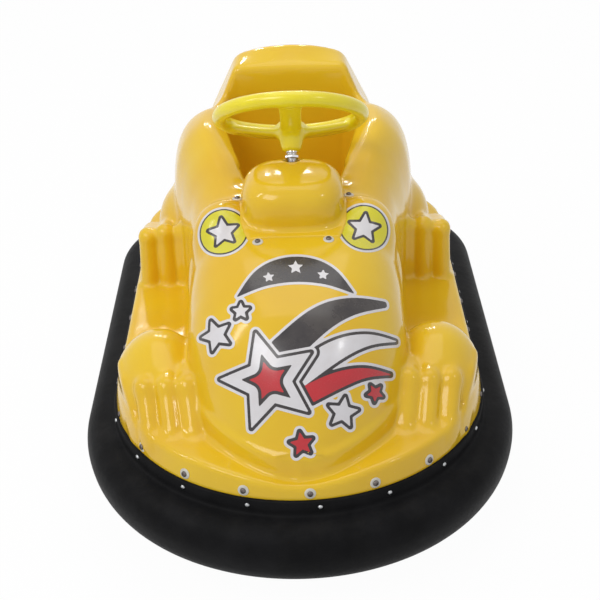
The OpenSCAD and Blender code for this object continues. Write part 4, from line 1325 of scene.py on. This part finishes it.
class SCENE_OT_bumper_car_stage(bpy.types.Operator):
    """Set up the floor, the lights and the camera"""

    bl_idname = "scene.bumper_car_stage"
    bl_label = "Stage"

    def execute(self, context):
        scene = context.scene
        scene.view_settings.view_transform = "Standard"
        stage = stage_size()
        camera_data = bpy.data.cameras.new("camera")
        camera_data.lens = stage.lens
        camera_data.sensor_width = 36.0
        camera_data.clip_end = 100.0
        camera = bpy.data.objects.new("camera", camera_data)
        scene.collection.objects.link(camera)
        turn = Matrix.Rotation(math.pi / 2 - stage.tilt, 4, "X")
        turn = turn @ Matrix.Rotation(stage.roll, 4, "Z")
        camera.matrix_world = Matrix.Translation(stage.camera) @ turn
        scene.camera = camera
        self.floor()
        self.lamps(scene)
        self.world(scene)
        return {"FINISHED"}

    def floor(self):
        """Lays a pale floor that shows white and still takes the car's shadow."""
        reach, white_share = 30.0, 0.97
        corners = [(-reach, -reach, 0), (reach, -reach, 0), (reach, reach, 0), (-reach, reach, 0)]
        floor = new_mesh("floor", corners, [(0, 1, 2, 3)], smooth=False)
        made = bpy.data.materials.new("White floor")
        made.use_nodes = True
        tree = made.node_tree
        tree.nodes.clear()
        diffuse = node(tree, "ShaderNodeBsdfDiffuse", {"Color": (0.9, 0.9, 0.9, 1.0)})
        glow = node(tree, "ShaderNodeEmission", {"Color": (1.0, 1.0, 1.0, 1.0), "Strength": 1.0})
        share = math_node(tree, "MULTIPLY", backdrop_rays(tree), white_share)
        both = node(tree, "ShaderNodeMixShader", {0: share})
        tree.links.new(diffuse.outputs[0], both.inputs[1])
        tree.links.new(glow.outputs[0], both.inputs[2])
        out = node(tree, "ShaderNodeOutputMaterial")
        tree.links.new(both.outputs[0], out.inputs["Surface"])
        floor.data.materials.append(made)

    def lamps(self, scene):
        """Hangs the lamps and turns each to the middle of the car."""
        middle = Vector((0, 0, 0.45))
        # Columns: name, place, size, power
        table = (
            ("front fill", (-2.2, -2.9, 4.2), (2.4, 2.0), 74.0),
            ("overhead fill", (0.0, 0.6, 3.7), (2.6, 2.2), 22.0),
            ("ceiling left", (-0.85, 3.8, 3.0), (0.2, 0.2), 9.0),
            ("ceiling middle", (-0.25, 3.8, 3.0), (0.2, 0.2), 9.0),
            ("ceiling right", (0.35, 3.8, 3.0), (0.2, 0.2), 9.0),
            ("side left", (-2.8, -0.8, 3.0), (0.25, 1.4), 15.0),
            ("side right", (2.2, -1.6, 2.9), (0.22, 0.30), 6.0),
        )
        for name, place, extent, power in table:
            lamp = bpy.data.lights.new(name, "AREA")
            lamp.shape = "RECTANGLE"
            lamp.size, lamp.size_y = extent
            lamp.energy = power
            holder = bpy.data.objects.new(name, lamp)
            scene.collection.objects.link(holder)
            holder.location = place
            aim = middle - Vector(place)
            holder.rotation_euler = aim.to_track_quat("-Z", "Y").to_euler()

    def world(self, scene):
        """Fills the room with soft light, behind a white backdrop."""
        room_light = 0.46
        world = bpy.data.worlds.new("studio")
        world.use_nodes = True
        scene.world = world
        tree = world.node_tree
        tree.nodes.clear()
        soft = node(tree, "ShaderNodeBackground",
                    {"Color": (0.97, 0.98, 1.0, 1.0), "Strength": room_light})
        white = node(tree, "ShaderNodeBackground",
                     {"Color": (1.0, 1.0, 1.0, 1.0), "Strength": 1.0})
        both = node(tree, "ShaderNodeMixShader", {0: backdrop_rays(tree)})
        tree.links.new(soft.outputs[0], both.inputs[1])
        tree.links.new(white.outputs[0], both.inputs[2])
        out = node(tree, "ShaderNodeOutputWorld")
        tree.links.new(both.outputs[0], out.inputs["Surface"])


class VIEW3D_PT_bumper_car(bpy.types.Panel):
    """Sizes, colours and steps of the bumper car"""

    bl_label = "Bumper Car"
    bl_idname = "VIEW3D_PT_bumper_car"
    bl_space_type = "VIEW_3D"
    bl_region_type = "UI"
    bl_category = "Bumper Car"

    def draw(self, context):
        for name in SETTINGS:
            settings, box = getattr(context.scene, name), self.layout.box()
            for key in settings.__annotations__:
                box.prop(settings, key)
        for step in STEPS:
            self.layout.operator(step.bl_idname)


STEPS = (
    MESH_OT_bumper_car_frame_finish, MESH_OT_bumper_car_shell, MESH_OT_bumper_car_pod,
    MESH_OT_bumper_car_steering, MESH_OT_bumper_car_ring, MESH_OT_bumper_car_tyres,
    MESH_OT_bumper_car_stickers, SCENE_OT_bumper_car_stage,
)


def register():
    for made in (*SETTINGS.values(), *STEPS, VIEW3D_PT_bumper_car):
        bpy.utils.register_class(made)
    for name, settings in SETTINGS.items():
        setattr(bpy.types.Scene, name, bpy.props.PointerProperty(type=settings))


def unregister():
    for name in SETTINGS:
        delattr(bpy.types.Scene, name)
    for made in (VIEW3D_PT_bumper_car, *STEPS, *SETTINGS.values()):
        bpy.utils.unregister_class(made)


def main():
    register()
    bpy.ops.mesh.bumper_car_frame_finish()
    bpy.ops.mesh.bumper_car_shell()
    bpy.ops.mesh.bumper_car_pod()
    bpy.ops.mesh.bumper_car_steering()
    bpy.ops.mesh.bumper_car_ring()
    bpy.ops.mesh.bumper_car_tyres()
    bpy.ops.mesh.bumper_car_stickers()
    bpy.ops.scene.bumper_car_stage()
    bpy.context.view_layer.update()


if __name__ == "__main__":
    main()
